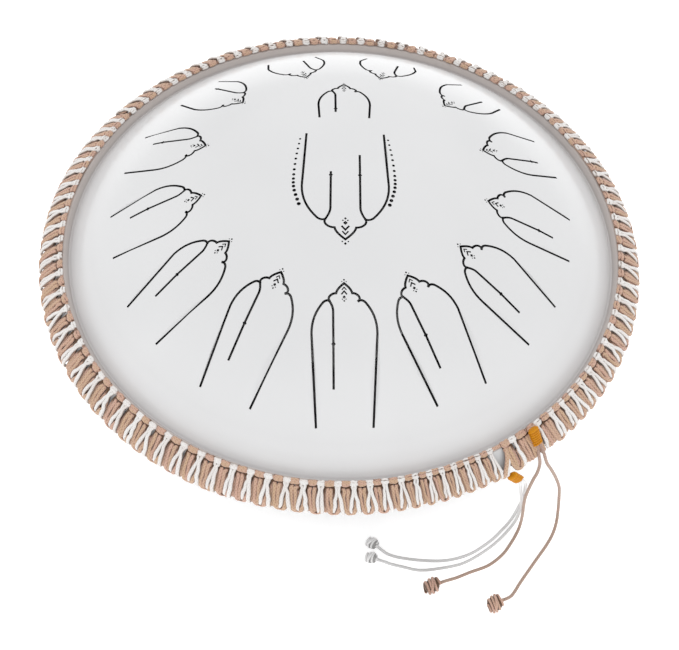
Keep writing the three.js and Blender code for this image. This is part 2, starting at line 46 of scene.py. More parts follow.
# Sizes that the pieces share, in mm, as the solids have them
drum = dict(
    sheet=1.2, mouthRadius=165.0,
    domeRise=69.2, domeFullness=0.28, grooveZ=81.158,
    bowlDepth=74.0, bowlFullness=0.46, bowlCrownZ=3.158,
    ridgeInner=167.2, ridgeOuter=170.4, ridgeZ=86.558,
    lipRadius=178.6, lipZ=77.558,
    coreRadius=168.8, coreZ=87.658, coreThick=1.6,
    lowerCoreRadius=172.5, lowerCoreZ=76.058,
    cordThick=1.9, whipAzimuth=math.radians(-52.2),
)


def unit(vectors):  # each vector over its length
    return vectors / np.linalg.norm(vectors, axis=-1, keepdims=True)


def between(pair, share):  # from the first value towards the second by the share
    return pair[0] + (pair[1] - pair[0]) * share


def readTable(table, place):  # straight lines between the table's pairs of place and value
    return np.interp(place, *np.array(table, float).T)


def ripple(place, mean, size, rate):  # the mean plus a sine of the place
    return mean + size * np.sin(place * rate)


def wallDrop(radius, depth, fullness):  # depth times a square and a quartic of radius over mouth radius
    share = radius / drum["mouthRadius"]
    return depth * ((1 - fullness) * share**2 + fullness * share**4)


def domeHeight(radius):  # outside of the dome: crown less the drop
    return drum["grooveZ"] + drum["domeRise"] - wallDrop(radius, drum["domeRise"], drum["domeFullness"])


def domeSlope(radius):  # fall of the dome per mm of radius: the drop's derivative
    share = radius / drum["mouthRadius"]
    full = drum["domeFullness"]
    return drum["domeRise"] * (2 * (1 - full) * share + 4 * full * share**3) / drum["mouthRadius"]


def bowlHeight(radius):  # outside of the bowl: crown plus the drop turned over
    return drum["bowlCrownZ"] + wallDrop(radius, drum["bowlDepth"], drum["bowlFullness"])


def around(angle, radius, height):  # a point at an angle round the drum's axis
    return np.stack(np.broadcast_arrays(radius * np.cos(angle), radius * np.sin(angle), height), -1)


def circle(angles):  # points at the angles on a circle of radius 1
    return np.stack([np.cos(angles), np.sin(angles)], 1)


def lengthsAlong(line):  # distance of each point from the first one along the line
    return np.concatenate([[0], np.cumsum(np.linalg.norm(np.diff(line, axis=0), axis=1))])


def splineWeights(count, steps):
    # weights of a uniform Catmull-Rom spline through count points, one row for each of the steps
    place = np.linspace(0, count - 1, steps)
    cell = np.minimum(place.astype(int), count - 2)
    t = (place - cell)[:, None]
    basis = np.concatenate([-t**3 + 2 * t**2 - t, 3 * t**3 - 5 * t**2 + 2,
                            -3 * t**3 + 4 * t**2 + t, t**3 - t**2], 1) / 2
    table = np.zeros((steps, count + 2))
    rows = np.arange(steps)[:, None]
    np.add.at(table, (rows, cell[:, None] + np.arange(4)), basis)
    table[:, 1] += 2 * table[:, 0]  # the points beyond the ends continue the end spans
    table[:, 2] -= table[:, 0]
    table[:, -2] += 2 * table[:, -1]
    table[:, -3] -= table[:, -1]
    return table[:, 1:-1]


def smoothRoute(points, steps, fineness=40):
    # centripetal Catmull-Rom through the points, then evenly spaced along its length
    points = np.asarray(points, float)
    padded = np.concatenate([[2 * points[0] - points[1]], points, [2 * points[-1] - points[-2]]])
    times = np.concatenate([[0], np.cumsum(np.linalg.norm(np.diff(padded, axis=0), axis=1) ** 0.5)])
    t = np.linspace(times[1], times[-2], fineness * len(points))
    i = np.clip(np.searchsorted(times, t, "right") - 1, 1, len(points) - 1)

    def blend(a, b, ta, tb):  # from a to b as t goes from ta to tb
        return a * ((tb - t) / (tb - ta))[:, None] + b * ((t - ta) / (tb - ta))[:, None]

    k = [times[i + n] for n in (-1, 0, 1, 2)]
    p = [padded[i + n] for n in (-1, 0, 1, 2)]
    a = [blend(p[n], p[n + 1], k[n], k[n + 1]) for n in range(3)]
    b = [blend(a[n], a[n + 1], k[n], k[n + 2]) for n in range(2)]
    fine = blend(b[0], b[1], k[1], k[2])
    run = lengthsAlong(fine)
    even = np.linspace(0, run[-1], steps)
    return np.stack([np.interp(even, run, fine[:, n]) for n in range(3)], 1), run[-1]


def addObject(name, data):  # an object at the origin that shows the data
    added = bpy.data.objects.new(name, data)
    scene.collection.objects.link(added)
    return added


def makePiece(name, points, faces, finishes, node, uv=None, normals=None, finishOf=None, tone=None):
    # mesh of points in mm; faces is a list of index blocks, and uv and normals have one block for each
    mesh = bpy.data.meshes.new(name)
    points = np.asarray(points, float) * mm
    corners = np.concatenate([block.ravel() for block in faces])
    sizes = np.concatenate([np.full(len(block), block.shape[1]) for block in faces])
    mesh.vertices.add(len(points))
    mesh.vertices.foreach_set("co", points.ravel())
    mesh.loops.add(len(corners))
    mesh.loops.foreach_set("vertex_index", corners.astype(np.int32))
    mesh.polygons.add(len(sizes))
    mesh.polygons.foreach_set("loop_start", (np.cumsum(sizes) - sizes).astype(np.int32))
    mesh.update(calc_edges=True)
    mesh.shade_smooth()
    if uv is not None:
        layer = mesh.uv_layers.new(name="cordMap")
        layer.data.foreach_set("uv", np.concatenate([block.ravel() for block in uv]))
    if tone is not None:
        mesh.attributes.new("tone", "FLOAT", "POINT").data.foreach_set("value", tone.astype(np.float32))
    for finish in finishes:
        mesh.materials.append(finish)
    if finishOf is not None:
        mesh.polygons.foreach_set("material_index", finishOf.astype(np.int32))
    if normals is not None:
        mesh.normals_split_custom_set(np.concatenate([block.reshape(-1, 3) for block in normals]))
    piece = addObject(name, mesh)
    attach(piece, "root")
    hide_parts(node)
    print(name, len(sizes), "faces")
    return piece


def quadMap(u0, u1, v0, v1):  # map of quads whose corners go along the cord and then round it
    corners = ((u0, v0), (u1, v0), (u1, v1), (u0, v1))
    return np.stack([np.stack(np.broadcast_arrays(*corner), -1) for corner in corners], -2)


def strandTubes(lines, outward, width, height, sides):
    # rings across each line: half the width along the side vector and half the height along the outward one
    count, steps = lines.shape[:2]
    along = unit(np.gradient(lines, axis=1))
    side = unit(np.cross(along, outward))
    up = np.cross(side, along)
    turn = np.linspace(0, fullTurn, sides, endpoint=False)[:, None]
    wide = np.broadcast_to(width, (count, steps))[..., None, None] / 2
    tall = np.broadcast_to(height, (count, steps))[..., None, None] / 2
    ring = side[:, :, None] * (wide * np.cos(turn)) + up[:, :, None] * (tall * np.sin(turn))
    points = (lines[:, :, None] + ring).reshape(-1, 3)
    j = np.arange(sides)
    first = (np.arange(count)[:, None, None] * steps + np.arange(steps - 1)[:, None]) * sides
    after = (j + 1) % sides
    quads = np.stack([first + j, first + sides + j, first + sides + after, first + after], -1).reshape(-1, 4)
    start = np.arange(count)[:, None] * steps * sides + j
    end = start[:, ::-1] + (steps - 1) * sides
    run = np.cumsum(np.linalg.norm(np.diff(lines, axis=1), axis=-1), 1)
    run = np.concatenate([np.zeros((count, 1)), run], 1)[..., None]
    walls = quadMap(run[:, :-1], run[:, 1:], j / sides, (j + 1) / sides)
    caps = np.stack(np.broadcast_arrays(0.0, np.broadcast_to(j / sides, (count, sides))), -1)
    return points, [quads, start, end], [walls, caps, caps]


def paintedEdgeShade(tone, sides, least=0.04):
    # painted shade: tone at every point of the tubes, full on top and fading to dark at the strand's sides
    turn = np.linspace(0, fullTurn, sides, endpoint=False)
    return (np.asarray(tone)[..., None] * np.clip(least + (1 - least) * np.sin(turn), 0, 1)).ravel()


def joinTubes(tubes):
    # several sets of tubes as one mesh: indices of the later ones shifted by the points before them
    points, faces, uv, shift = [], [], [], 0
    for somePoints, someFaces, someMap in tubes:
        points.append(somePoints)
        faces += [block + shift for block in someFaces]
        uv += someMap
        shift += len(somePoints)
    return np.concatenate(points), faces, uv


# Finishes: procedural, on object coordinates or on a cord's own map (mm along it, share of a turn round it)
def newFinish(name):  # a material, its node tree and the shader that it shows
    finish = bpy.data.materials.new(name)
    finish.use_nodes = True
    return finish, finish.node_tree, finish.node_tree.nodes["Principled BSDF"]


def feed(tree, node, values):  # each input, by number or name, takes a value or is joined to an output
    for key, value in values.items():
        if isinstance(value, bpy.types.NodeSocket):
            tree.links.new(value, node.inputs[key])
        else:
            node.inputs[key].default_value = value


def put(tree, kind, values, out=0, **settings):  # a node with its settings and inputs, known by one output
    node = tree.nodes.new("ShaderNode" + kind)
    for key, value in settings.items():
        setattr(node, key, value)
    feed(tree, node, values)
    return node.outputs[out]


def objectPlace(tree):  # where a point lies on its object, in metres
    return put(tree, "TexCoord", {}, "Object")


def noise(tree, where, scale, detail):  # a soft random value about one half
    return put(tree, "TexNoise", {"Vector": where, "Scale": scale, "Detail": detail})


def spanned(tree, value, low=0.0, high=1.0, toLow=0.0, toHigh=1.0):  # low to high laid on another range
    return put(tree, "MapRange", {0: value, 1: low, 2: high, 3: toLow, 4: toHigh})


def worked(tree, operation, *values):  # outputs and numbers put through one of Blender's operations
    return put(tree, "Math", dict(enumerate(values)), operation=operation)


def tinted(tree, first, second):  # one colour times another
    return put(tree, "Mix", {"Factor": 1.0, "A": first, "B": second}, "Result",
               data_type="RGBA", blend_type="MULTIPLY")


def bumped(tree, look, height):  # normals tilted by the slope of a height
    return put(tree, "Bump", {"Strength": look["bump"], "Distance": look["bumpDepth"], "Height": height})


def ramp(tree, source, stops):  # colours at places along a 0 to 1 value
    output = put(tree, "ValToRGB", {0: source})
    elements = output.node.color_ramp.elements
    while len(elements) < len(stops):
        elements.new(0.5)
    for element, (place, colour) in zip(elements, stops):
        element.position = place
        element.color = (*colour, 1)
    return output


def paintFinish(name, look):
    # white satin paint: a fine orange-peel bump, and slow drifts of shade and gloss
    finish, tree, shader = newFinish(name)
    where = objectPlace(tree)
    drift = noise(tree, where, look["driftScale"], look["driftDetail"])
    body = ramp(tree, drift, look["shades"])
    if "rim" in look:
        # painted light and shade by distance from the drum's axis
        flat = put(tree, "VectorMath", {0: where, 1: (1, 1, 0)}, operation="MULTIPLY")
        reach = put(tree, "VectorMath", {0: flat}, "Value", operation="LENGTH")
        low, high = look["rim"][0][0], look["rim"][-1][0]
        stops = [((radius - low) / (high - low), tint) for radius, *tint in look["rim"]]
        body = tinted(tree, body, ramp(tree, spanned(tree, reach, low * mm, high * mm), stops))
    peel = noise(tree, where, look["peelScale"], look["peelDetail"])
    feed(tree, shader, {
        "Base Color": body, "Roughness": spanned(tree, drift, 0.0, 1.0, *look["rough"]),
        "Normal": bumped(tree, look, peel), "Coat Weight": look["coat"], "Coat Roughness": look["coatRough"]})
    return finish


def mottledFinish(name, look):
    # two shades mottled by a soft noise, with fine pits where the look has a bump
    finish, tree, shader = newFinish(name)
    where = objectPlace(tree)
    mottle = noise(tree, where, look["mottleScale"], look["mottleDetail"])
    feed(tree, shader, {"Base Color": ramp(tree, mottle, look["shades"]), "Roughness": look["rough"],
                        "Specular IOR Level": look["specular"]})
    if "bump" in look:
        pits = noise(tree, where, look["pitScale"], look["pitDetail"])
        feed(tree, shader, {"Normal": bumped(tree, look, pits)})
    return finish


def cordFinish(name, look):
    # braided cord: two families of crossing plaits on the cord's map, with a fuzz of fine fibres
    finish, tree, shader = newFinish(name)
    mapAlong = put(tree, "SeparateXYZ", {0: put(tree, "UVMap", {}, uv_map="cordMap")})
    along = worked(tree, "MULTIPLY", mapAlong, fullTurn / look["plaitLength"])
    girth = worked(tree, "MULTIPLY", mapAlong.node.outputs[1], fullTurn * look["plaits"])
    waves = [worked(tree, "SINE", worked(tree, way, along, girth)) for way in ("ADD", "SUBTRACT")]
    weave = spanned(tree, worked(tree, "MAXIMUM", *waves), *look["weave"])
    fibre = noise(tree, objectPlace(tree), look["fibreScale"], look["fibreDetail"])
    tone = put(tree, "Attribute", {}, "Fac", attribute_name="tone")
    # tone 0 gives the deep colour, painted shade in creases, at strand sides and on knot barrels
    colours = [look[shade] for shade in ("deep", "pink", "mid", "tan")]
    body = ramp(tree, tone, list(zip(look["tonePlaces"], colours)))
    light = worked(tree, "MULTIPLY_ADD", fibre, look["fibreShade"],
                   worked(tree, "MULTIPLY", weave, look["weaveShade"]))
    shaded = ramp(tree, light, [(0.0, look["shade"]), (look["lightFrom"], (1, 1, 1))])
    height = worked(tree, "MULTIPLY_ADD", fibre, look["fibreHeight"], weave)
    feed(tree, shader, {
        "Base Color": tinted(tree, body, shaded), "Normal": bumped(tree, look, height),
        "Roughness": look["rough"], "Sheen Weight": look["sheen"], "Sheen Roughness": look["sheenRough"],
        "Specular IOR Level": look["specular"]})
    return finish


paint = dict(
    shades=[(0.3, (0.665, 0.668, 0.675)), (0.7, (0.70, 0.702, 0.708))], rough=(0.3, 0.4),
    driftScale=9.0, driftDetail=3.0, peelScale=900.0, peelDetail=2.0, bump=0.05, bumpDepth=0.0002,
    coat=0.25, coatRough=0.12)
# radius in mm and the tint there: painted light and shade near the groove and on the rim's wall
# lighter before the groove, a dark shadow line in it, warm bounced light up the wall, darker under stitches
paintedRimShade = [(150, 1, 1, 1), (158, 1.08, 1.08, 1.08), (163, 1.09, 1.09, 1.09), (164.7, 0.8, 0.77, 0.76),
             (165.3, 0.62, 0.57, 0.55), (166.1, 0.78, 0.71, 0.67), (167.1, 0.77, 0.69, 0.65),
             (168.4, 0.7, 0.62, 0.57), (170.5, 0.95, 0.95, 0.95)]
# near-black for the upper shell's inside, its cut walls and the rim's inside: painted shade of the drum's
# dark inside
cutSteelInShade = dict(
    shades=[(0.3, (0.006, 0.006, 0.007)), (0.75, (0.018, 0.018, 0.02))], mottleScale=90.0, mottleDetail=4.0,
    rough=0.75, specular=0.15)
rubber = dict(
    shades=[(0.35, (0.012, 0.012, 0.013)), (0.8, (0.03, 0.03, 0.031))], mottleScale=140.0, mottleDetail=4.0,
    rough=0.7, specular=0.5, pitScale=2200.0, pitDetail=2.0, bump=0.25, bumpDepth=0.0002)
braid = dict(
    plaitLength=2.0, plaits=4, weave=(-0.6, 1.0), weaveShade=0.65, fibreScale=1500.0, fibreDetail=3.0,
    fibreShade=0.45, fibreHeight=0.3, lightFrom=0.75, tonePlaces=(0.0, 0.25, 0.6, 1.0), bumpDepth=0.00025,
    sheen=0.25, sheenRough=0.5, specular=0.25)
# deep is the colour of painted shade; the white cord's is warm, shade lit by light bounced off the beige
beige = dict(
    braid, deep=(0.125, 0.068, 0.038), pink=(0.60, 0.385, 0.305), mid=(0.59, 0.405, 0.29),
    tan=(0.575, 0.395, 0.26), shade=(0.62, 0.54, 0.47), bump=0.45, rough=0.85)
white = dict(
    braid, deep=(0.33, 0.27, 0.23), pink=(0.78, 0.74, 0.715), mid=(0.82, 0.80, 0.785),
    tan=(0.82, 0.815, 0.80), shade=(0.8, 0.785, 0.77), bump=0.4, rough=0.8)
amber = dict(
    braid, deep=(0.40, 0.14, 0.001), pink=(0.64, 0.257, 0.002), mid=(0.665, 0.272, 0.002),
    tan=(0.62, 0.245, 0.002), shade=(0.62, 0.5, 0.4), plaitLength=0.9, plaits=2, fibreScale=2500.0,
    bump=0.35, rough=0.5, sheen=0.0)
whitePaint = paintFinish("white_satin_paint", paint)
domePaint = paintFinish("white_dome_paint", dict(paint, rim=paintedRimShade))
steelInPaintedShade = mottledFinish("steel_in_painted_shade", cutSteelInShade)
beigeCord = cordFinish("beige_braided_cord", beige)
beigeEnd = cordFinish("beige_cord_end", dict(beige, pink=(0.46, 0.315, 0.27), mid=(0.445, 0.326, 0.265)))
whiteCord = cordFinish("white_braided_cord", white)
whiteEnd = cordFinish("white_cord_end", dict(white, deep=(0.345, 0.34, 0.335), pink=(0.8, 0.795, 0.795),
                                             shade=(0.8, 0.795, 0.79)))
amberThread = cordFinish("amber_waxed_thread", amber)
blackRubber = mottledFinish("black_rubber", rubber)
print("finishes made")

# Camera where the photograph was taken, in mm
view = dict(place=(-17.05, -528.18, 747.68), aim=(-1.22, -65.52, 87.64), roll=math.radians(2.416), lens=73.59,
            sensor=36.0)
# Soft light over a white floor, in m; a lamp has its place, width and power
light = dict(
    sky=0.93, floor=(0.85, 0.85, 0.85), floorRough=0.9, floorHalf=6.0, floorZ=-0.00002,
    floorGlow=0.6, glowFrom=0.11, glowTo=0.19, aim=(0, 0, 0.1), level=(0, 1, 0.1),
    lamps=[("overhead_softbox", (0.1, 0.35, 1.5), 1.6, 2.5), ("back_softbox", (0.1, 1.4, 0.9), 1.4, 1.8),
           ("front_softbox", (-0.3, -1.5, 1.2), 1.8, 3.4), ("left_softbox", (-1.6, -0.5, 0.4), 1.2, 1.2),
           ("right_softbox", (1.6, -0.5, 0.4), 1.2, 0.9)],
)


def setPose(holder, axes, place):  # the holder's three axes, and its place in m
    pose = np.eye(4)
    pose[:3, :3] = np.stack(axes, 1)
    pose[:3, 3] = place
    holder.matrix_world = Matrix(pose.tolist())


def placeCamera():
    # looks from place to aim, its right side raised by the roll
    camera = addObject("camera", bpy.data.cameras.new("camera"))
    forward = unit(np.subtract(view["aim"], view["place"]))
    level = unit(np.cross(forward, upwards))
    up = np.cross(level, forward)
    c, s = math.cos(view["roll"]), math.sin(view["roll"])
    setPose(camera, [level * c + up * s, up * c - level * s, -forward], np.array(view["place"]) * mm)
    camera.data.lens = view["lens"]
    camera.data.sensor_width = view["sensor"]
    scene.camera = camera


def placeLamp(name, place, size, power):  # a round soft box that shines from its place at the aim
    lamp = bpy.data.lights.new(name, "AREA")
    lamp.shape = "DISK"
    lamp.size = size
    lamp.energy = power
    back = unit(np.subtract(place, light["aim"]))
    side = unit(np.cross(light["level"], back))
    setPose(addObject(name, lamp), [side, np.cross(back, side), back], place)


def placeStage():
    # a wide white floor under the feet that shines a little except under the drum
    corners = np.array([[-1, -1], [1, -1], [1, 1], [-1, 1]]) * light["floorHalf"]
    mesh = bpy.data.meshes.new("floor")
    mesh.from_pydata([(x, y, light["floorZ"]) for x, y in corners.tolist()], [], [[0, 1, 2, 3]])
    finish, tree, shader = newFinish("white_floor")
    reach = put(tree, "VectorMath", {0: objectPlace(tree)}, "Value", operation="LENGTH")
    glow = spanned(tree, reach, light["glowFrom"], light["glowTo"], 0.0, light["floorGlow"])
    feed(tree, shader, {
        "Base Color": (*light["floor"], 1), "Roughness": light["floorRough"], "Specular IOR Level": 0.0,
        "Emission Color": (1, 1, 1, 1), "Emission Strength": glow})
    mesh.materials.append(finish)
    addObject("floor", mesh)
    world = bpy.data.worlds.new("studio")
    world.use_nodes = True
    feed(world.node_tree, world.node_tree.nodes["Background"], {0: (1, 1, 1, 1), 1: light["sky"]})
    scene.world = world
    scene.view_settings.view_transform = "Standard"
    scene.view_settings.look = "None"


placeCamera()
placeStage()
for lampValues in light["lamps"]:
    placeLamp(*lampValues)
print("camera, floor and light placed")

# Free cord ends: the routes of the solids. Hanging points are measured from the lip below the beige
# whipping, floor points from the place under it where a cord lies on the floor.
ends = dict(
    pitch=1.4, lead=0.3, spacing=2.3, floorGap=0.15, steps=150, sides=12, aimBack=5,
    across=(-0.83, 0.55, 0.05),
    beigeTone=[(0, 0.3), (30, 0.55), (150, 0.6)],
    whiteTone=[(0, 0.3), (40, 0.25), (90, 0.19), (150, 0.15)], toneSway=0.02, toneRate=0.11,
    beigeLeft=dict(
        side=-1, colour="beige", wound=True,
        hang=[[0.2, -4.2, 0.9], [1.9, -4.8, -7.6], [1.6, -5.7, -16.6], [0, -7, -22.6], [-2.1, -8.6, -39.6]],
        floor=[[-0.9, -8.7, 13.6], [-0.7, -8.9, 5.6], [-1.6, -11.2, 1.4], [-3.5, -14.7, 0], [-7.6, -21.4, 0],
               [-12, -27.3, 0], [-20.9, -34.6, 0], [-32.3, -39.3, 0], [-40, -42.7, 0.1], [-44.2, -44.7, 1.5],
               [-48, -46.5, 2.8], [-50.1, -47.4, 2.9]]),
    beigeRight=dict(
        side=1, colour="beige", wound=False,
        hang=[[3.2, -2.5, 0.4], [6.1, -3, -9.1], [10.4, -1.8, -19.6], [15.1, 0.3, -32.6]],
        floor=[[19.2, 1.3, 30.6], [21, 1.2, 18.6], [21.7, -1.2, 9.6], [21.2, -6.8, 3], [19.3, -12.4, 0.1],
               [15.2, -19.8, 0], [5.6, -33.2, 0], [-3.9, -46.6, 0], [-6.6, -50.9, 0.1], [-9.4, -54.7, 1.5],
               [-12.5, -56.9, 2.8], [-14.4, -57.7, 2.9]]),
    whiteUpper=dict(
        side=1, colour="white", wound=True,
        hang=[[-4.2, -7.6, -25.1], [-2, -3.7, -39.6]],
        floor=[[-0.9, -1.6, 22.6], [-2.3, -2, 12.1], [-4.8, -4.4, 3.6], [-7.7, -7.3, 0.1], [-11.7, -11.7, 0],
               [-17.8, -17.9, 0], [-31.8, -27.6, 0], [-46, -31.8, 0], [-62, -31.8, 0], [-76.1, -29.6, 0],
               [-81, -27.7, 0.3], [-83.6, -26.3, 1.4], [-85.2, -25.1, 1.9], [-86, -24.5, 2]]),
    whiteLower=dict(
        side=-1, colour="white", wound=False,
        hang=[[-6.8, -7.7, -27.1], [-4.4, -5.4, -40.6]],
        floor=[[-2.4, -4.1, 23.1], [-2, -4.9, 12.1], [-3.5, -6.9, 3.6], [-6.1, -9.6, 0.1], [-9.8, -14, 0],
               [-16.1, -20.3, 0], [-27.1, -28.6, 0], [-36.7, -33.8, 0], [-50, -37, 0], [-62.2, -38.2, 0],
               [-71.6, -36.2, 0], [-78.5, -34.6, 0.3], [-82.4, -33.7, 1.4], [-85.2, -33, 1.9],
               [-86.3, -32.7, 2]]),
)
# Windings of thread: a sway has its size, rate and phase, the tone its mean, size and rate
whips = dict(
    fill=0.97, thickness=2.15, closing=2.4, closingSteps=58, turnSteps=24, sides=6, eye=0.02, fullness=0.8,
    sway=[(0.06, 0.37, 0), (0.05, 0.11, 1)], tone=(0.6, 0.35, 0.21),
    beige=dict(startRadius=172.27, startZ=90.46, axis=(0.3516, -0.4532, -0.8192), turns=7),
    white=dict(start=(-15.3, -16.3, -1.1), axis=(6.5, 0.6, -7.5), turns=5),
)
# End knots: turns of cord over a barrel, the strand that enters it and one laid over the turns
knots = dict(
    seat=0.3, lift=0.05, sides=12, coilSteps=160, lean=0.6, toneWave=(1, 0.3, 0.8),
    barrelSteps=13, barrelSides=14, barrelSink=0.15, barrelTaper=0.5, taperPower=9,
    entrySteps=12, entrySides=10, entryThick=2.1,
    laySteps=28, layReach=0.55, layTurn=1.3, layRise=0.75, layDip=1.5, dipPower=4, layFlat=0.8,
    beigeLeft=dict(radius=4.8, halfLength=5.2, turns=3.7, thick=1.7, tilt=0.35, roundness=0.55, tone=0.24),
    beigeRight=dict(radius=5.2, halfLength=5.4, turns=4.6, thick=1.5, tilt=0.4, roundness=0.8, tone=0.4),
    whiteUpper=dict(radius=3.6, halfLength=3.8, turns=3.5, thick=1.45, tilt=0.35, roundness=0.65, tone=0.28),
    whiteLower=dict(radius=3.6, halfLength=3.7, turns=3.3, thick=1.45, tilt=0.4, roundness=0.65, tone=0.28),
)
lipRoot = around(drum["whipAzimuth"], drum["lipRadius"], drum["lipZ"])
floorRoot = around(drum["whipAzimuth"], drum["lipRadius"], drum["cordThick"] / 2 + ends["floorGap"])


def windingFrame(colour):
    # start point, axis and the direction across the two cords of a winding
    whip = whips[colour]
    axis = unit(np.array(whip["axis"], float))
    if colour == "beige":
        start = around(drum["whipAzimuth"], whip["startRadius"], whip["startZ"])
        wide = np.array([-math.sin(drum["whipAzimuth"]), math.cos(drum["whipAzimuth"]), 0])
    else:
        start = lipRoot + whip["start"]
        wide = unit(upwards - axis * axis[2])
    return start, axis, wide, whip["turns"]


def makeWinding(colour):
    # a thread in a flat helix round two cords: fuller than an ellipse, one thread apart along the axis,
    # begun by a few turns that spread from the middle and close the top
    start, axis, wide, turns = windingFrame(colour)
    thick = np.cross(axis, wide)
    thread = ends["pitch"] * whips["fill"]
    closing = fullTurn * whips["closing"]
    turn = np.linspace(-closing, fullTurn * turns, whips["turnSteps"] * turns + whips["closingSteps"])
    grow = np.clip(1 + whips["eye"] + turn / closing, whips["eye"], 1)
    sway = sum(size * np.sin(turn * rate + phase) for size, rate, phase in whips["sway"])
    reach = whips["thickness"] - thread / 2 + sway
    c, s = np.cos(turn), np.sin(turn)
    across = np.sign(c) * np.abs(c) ** whips["fullness"] * (reach + ends["spacing"] / 2)
    over = np.sign(s) * np.abs(s) ** whips["fullness"] * reach
    out = wide * across[:, None] + thick * over[:, None]
    run = np.maximum(turn, 0) / fullTurn * ends["pitch"]
    line = start + axis * run[:, None] + out * grow[:, None]
    points, faces, uv = strandTubes(line[None], unit(out), thread, thread, whips["sides"])
    tone = ripple(np.repeat(turn, whips["sides"]), *whips["tone"])
    return makePiece(colour + "_whipping_thread", points, faces, [amberThread],
                     colour + "_whipping", uv, tone=tone)


def makeKnot(key, place, end, along, finish):
    # slanting turns of cord over a barrel in the deep colour of painted shade: the turn's radius falls with
    # the square of the distance from the middle, and its plane leans along the axis by the tilt
    knot, colour, sides = knots[key], ends[key]["colour"], knots["sides"]
    thick = knot["thick"]
    flat = unit(np.array([along[0], along[1], 0]))
    side = np.array([-flat[1], flat[0], 0])
    centre = end + flat * (knots["seat"] + knot["halfLength"])
    centre[2] = knot["radius"] + knots["lift"]
    ring = knot["radius"] - thick / 2
    reach = knot["halfLength"] - thick / 2
    share = np.linspace(-1, 1, knots["coilSteps"])
    turn = share * np.pi * knot["turns"]
    out = side * np.cos(turn)[:, None] + upwards * np.sin(turn)[:, None]
    radius = ring * np.sqrt(1 - knot["roundness"] * share**2)
    run = share * reach + knot["tilt"] * ring * np.cos(turn - knots["lean"]) * (1 - share**2)
    line = centre + flat * run[:, None] + out * radius[:, None]
    coil = strandTubes(line[None], out, thick, thick, sides)
    # the barrel under the turns, dark with painted shade, and the strand that enters it
    step = np.linspace(-1, 1, knots["barrelSteps"])
    girth = 2 * (ring * np.sqrt(1 - knot["roundness"] * step**2) - knots["barrelSink"] * thick)
    girth = girth * (1 - knots["barrelTaper"] * np.abs(step) ** knots["taperPower"])
    core = centre + flat * (step * reach)[:, None]
    barrel = strandTubes(core[None], side, girth, girth, knots["barrelSides"])
    stout = knots["entryThick"]
    entry = end + (centre - end) * np.linspace(0, 1, knots["entrySteps"])[:, None]
    entered = strandTubes(entry[None], side, stout, stout, knots["entrySides"])
    # a last strand laid slantwise over the turns, its ends tucked in
    lay = np.linspace(-1, 1, knots["laySteps"])
    lean = (lay * knots["layTurn"])[:, None]
    rise = (ring + knots["layRise"] - knots["layDip"] * np.abs(lay) ** knots["dipPower"])[:, None]
    over = centre + flat * (lay * knots["layReach"] * reach)[:, None]
    over = over + (side * np.sin(lean) + upwards * np.cos(lean)) * rise
    crossing = strandTubes(over[None], unit(over - centre), thick, thick * knots["layFlat"], sides)
    points, faces, uv = joinTubes([coil, barrel, entered, crossing])
    # painted shade: the sides of the turns and of the laid strand darken, and the barrel takes tone 0
    tone = [paintedEdgeShade(knot["tone"] * ripple(turn, *knots["toneWave"]), sides), np.zeros(len(barrel[0])),
            np.full(len(entered[0]), knot["tone"]), paintedEdgeShade(np.full(len(lay), knot["tone"]), sides)]
    return makePiece(f"{colour}_end_knot_{place}", points, faces, [finish],
                     f"{colour}_knot_{place}", uv, tone=np.concatenate(tone))


def makeEnds():
    # each end runs straight through its winding, hangs down and lies along the floor to its knot
    windings = {colour: makeWinding(colour) for colour in ("beige", "white")}
    lengths = {}
    for key in ("beigeLeft", "beigeRight", "whiteUpper", "whiteLower"):
        end = ends[key]
        colour = end["colour"]
        place = key[len(colour):].lower()
        finish, knotFinish = (beigeEnd, beigeCord) if colour == "beige" else (whiteEnd, whiteEnd)
        start, axis, wide, turns = windingFrame(colour)
        entry = start + wide * (end["side"] * ends["spacing"] / 2) - axis * ends["lead"]
        straight = ends["lead"] + (turns + 1) * ends["pitch"]
        through = entry + axis * (np.array([0, 0.5, 1])[:, None] * straight)
        route = np.concatenate([through, lipRoot + np.array(end["hang"]), floorRoot + np.array(end["floor"])])
        line, length = smoothRoute(route, ends["steps"])
        points, faces, uv = strandTubes(line[None], ends["across"], drum["cordThick"], drum["cordThick"],
                                        ends["sides"])
        step = np.repeat(np.arange(ends["steps"]), ends["sides"])
        sway = ends["toneSway"] * np.sin(step * ends["toneRate"] + len(key))
        cord = makePiece(f"{colour}_cord_end_{place}", points, faces, [finish],
                         f"{colour}_tail_{place}", uv, tone=readTable(ends[colour + "Tone"], step) + sway)
        knot = makeKnot(key, place, line[-1], line[-1] - line[-1 - ends["aimBack"]], knotFinish)
        lengths[key] = round(float(length), 1)
    print("cord ends laid, lengths in mm", lengths)


makeEnds()

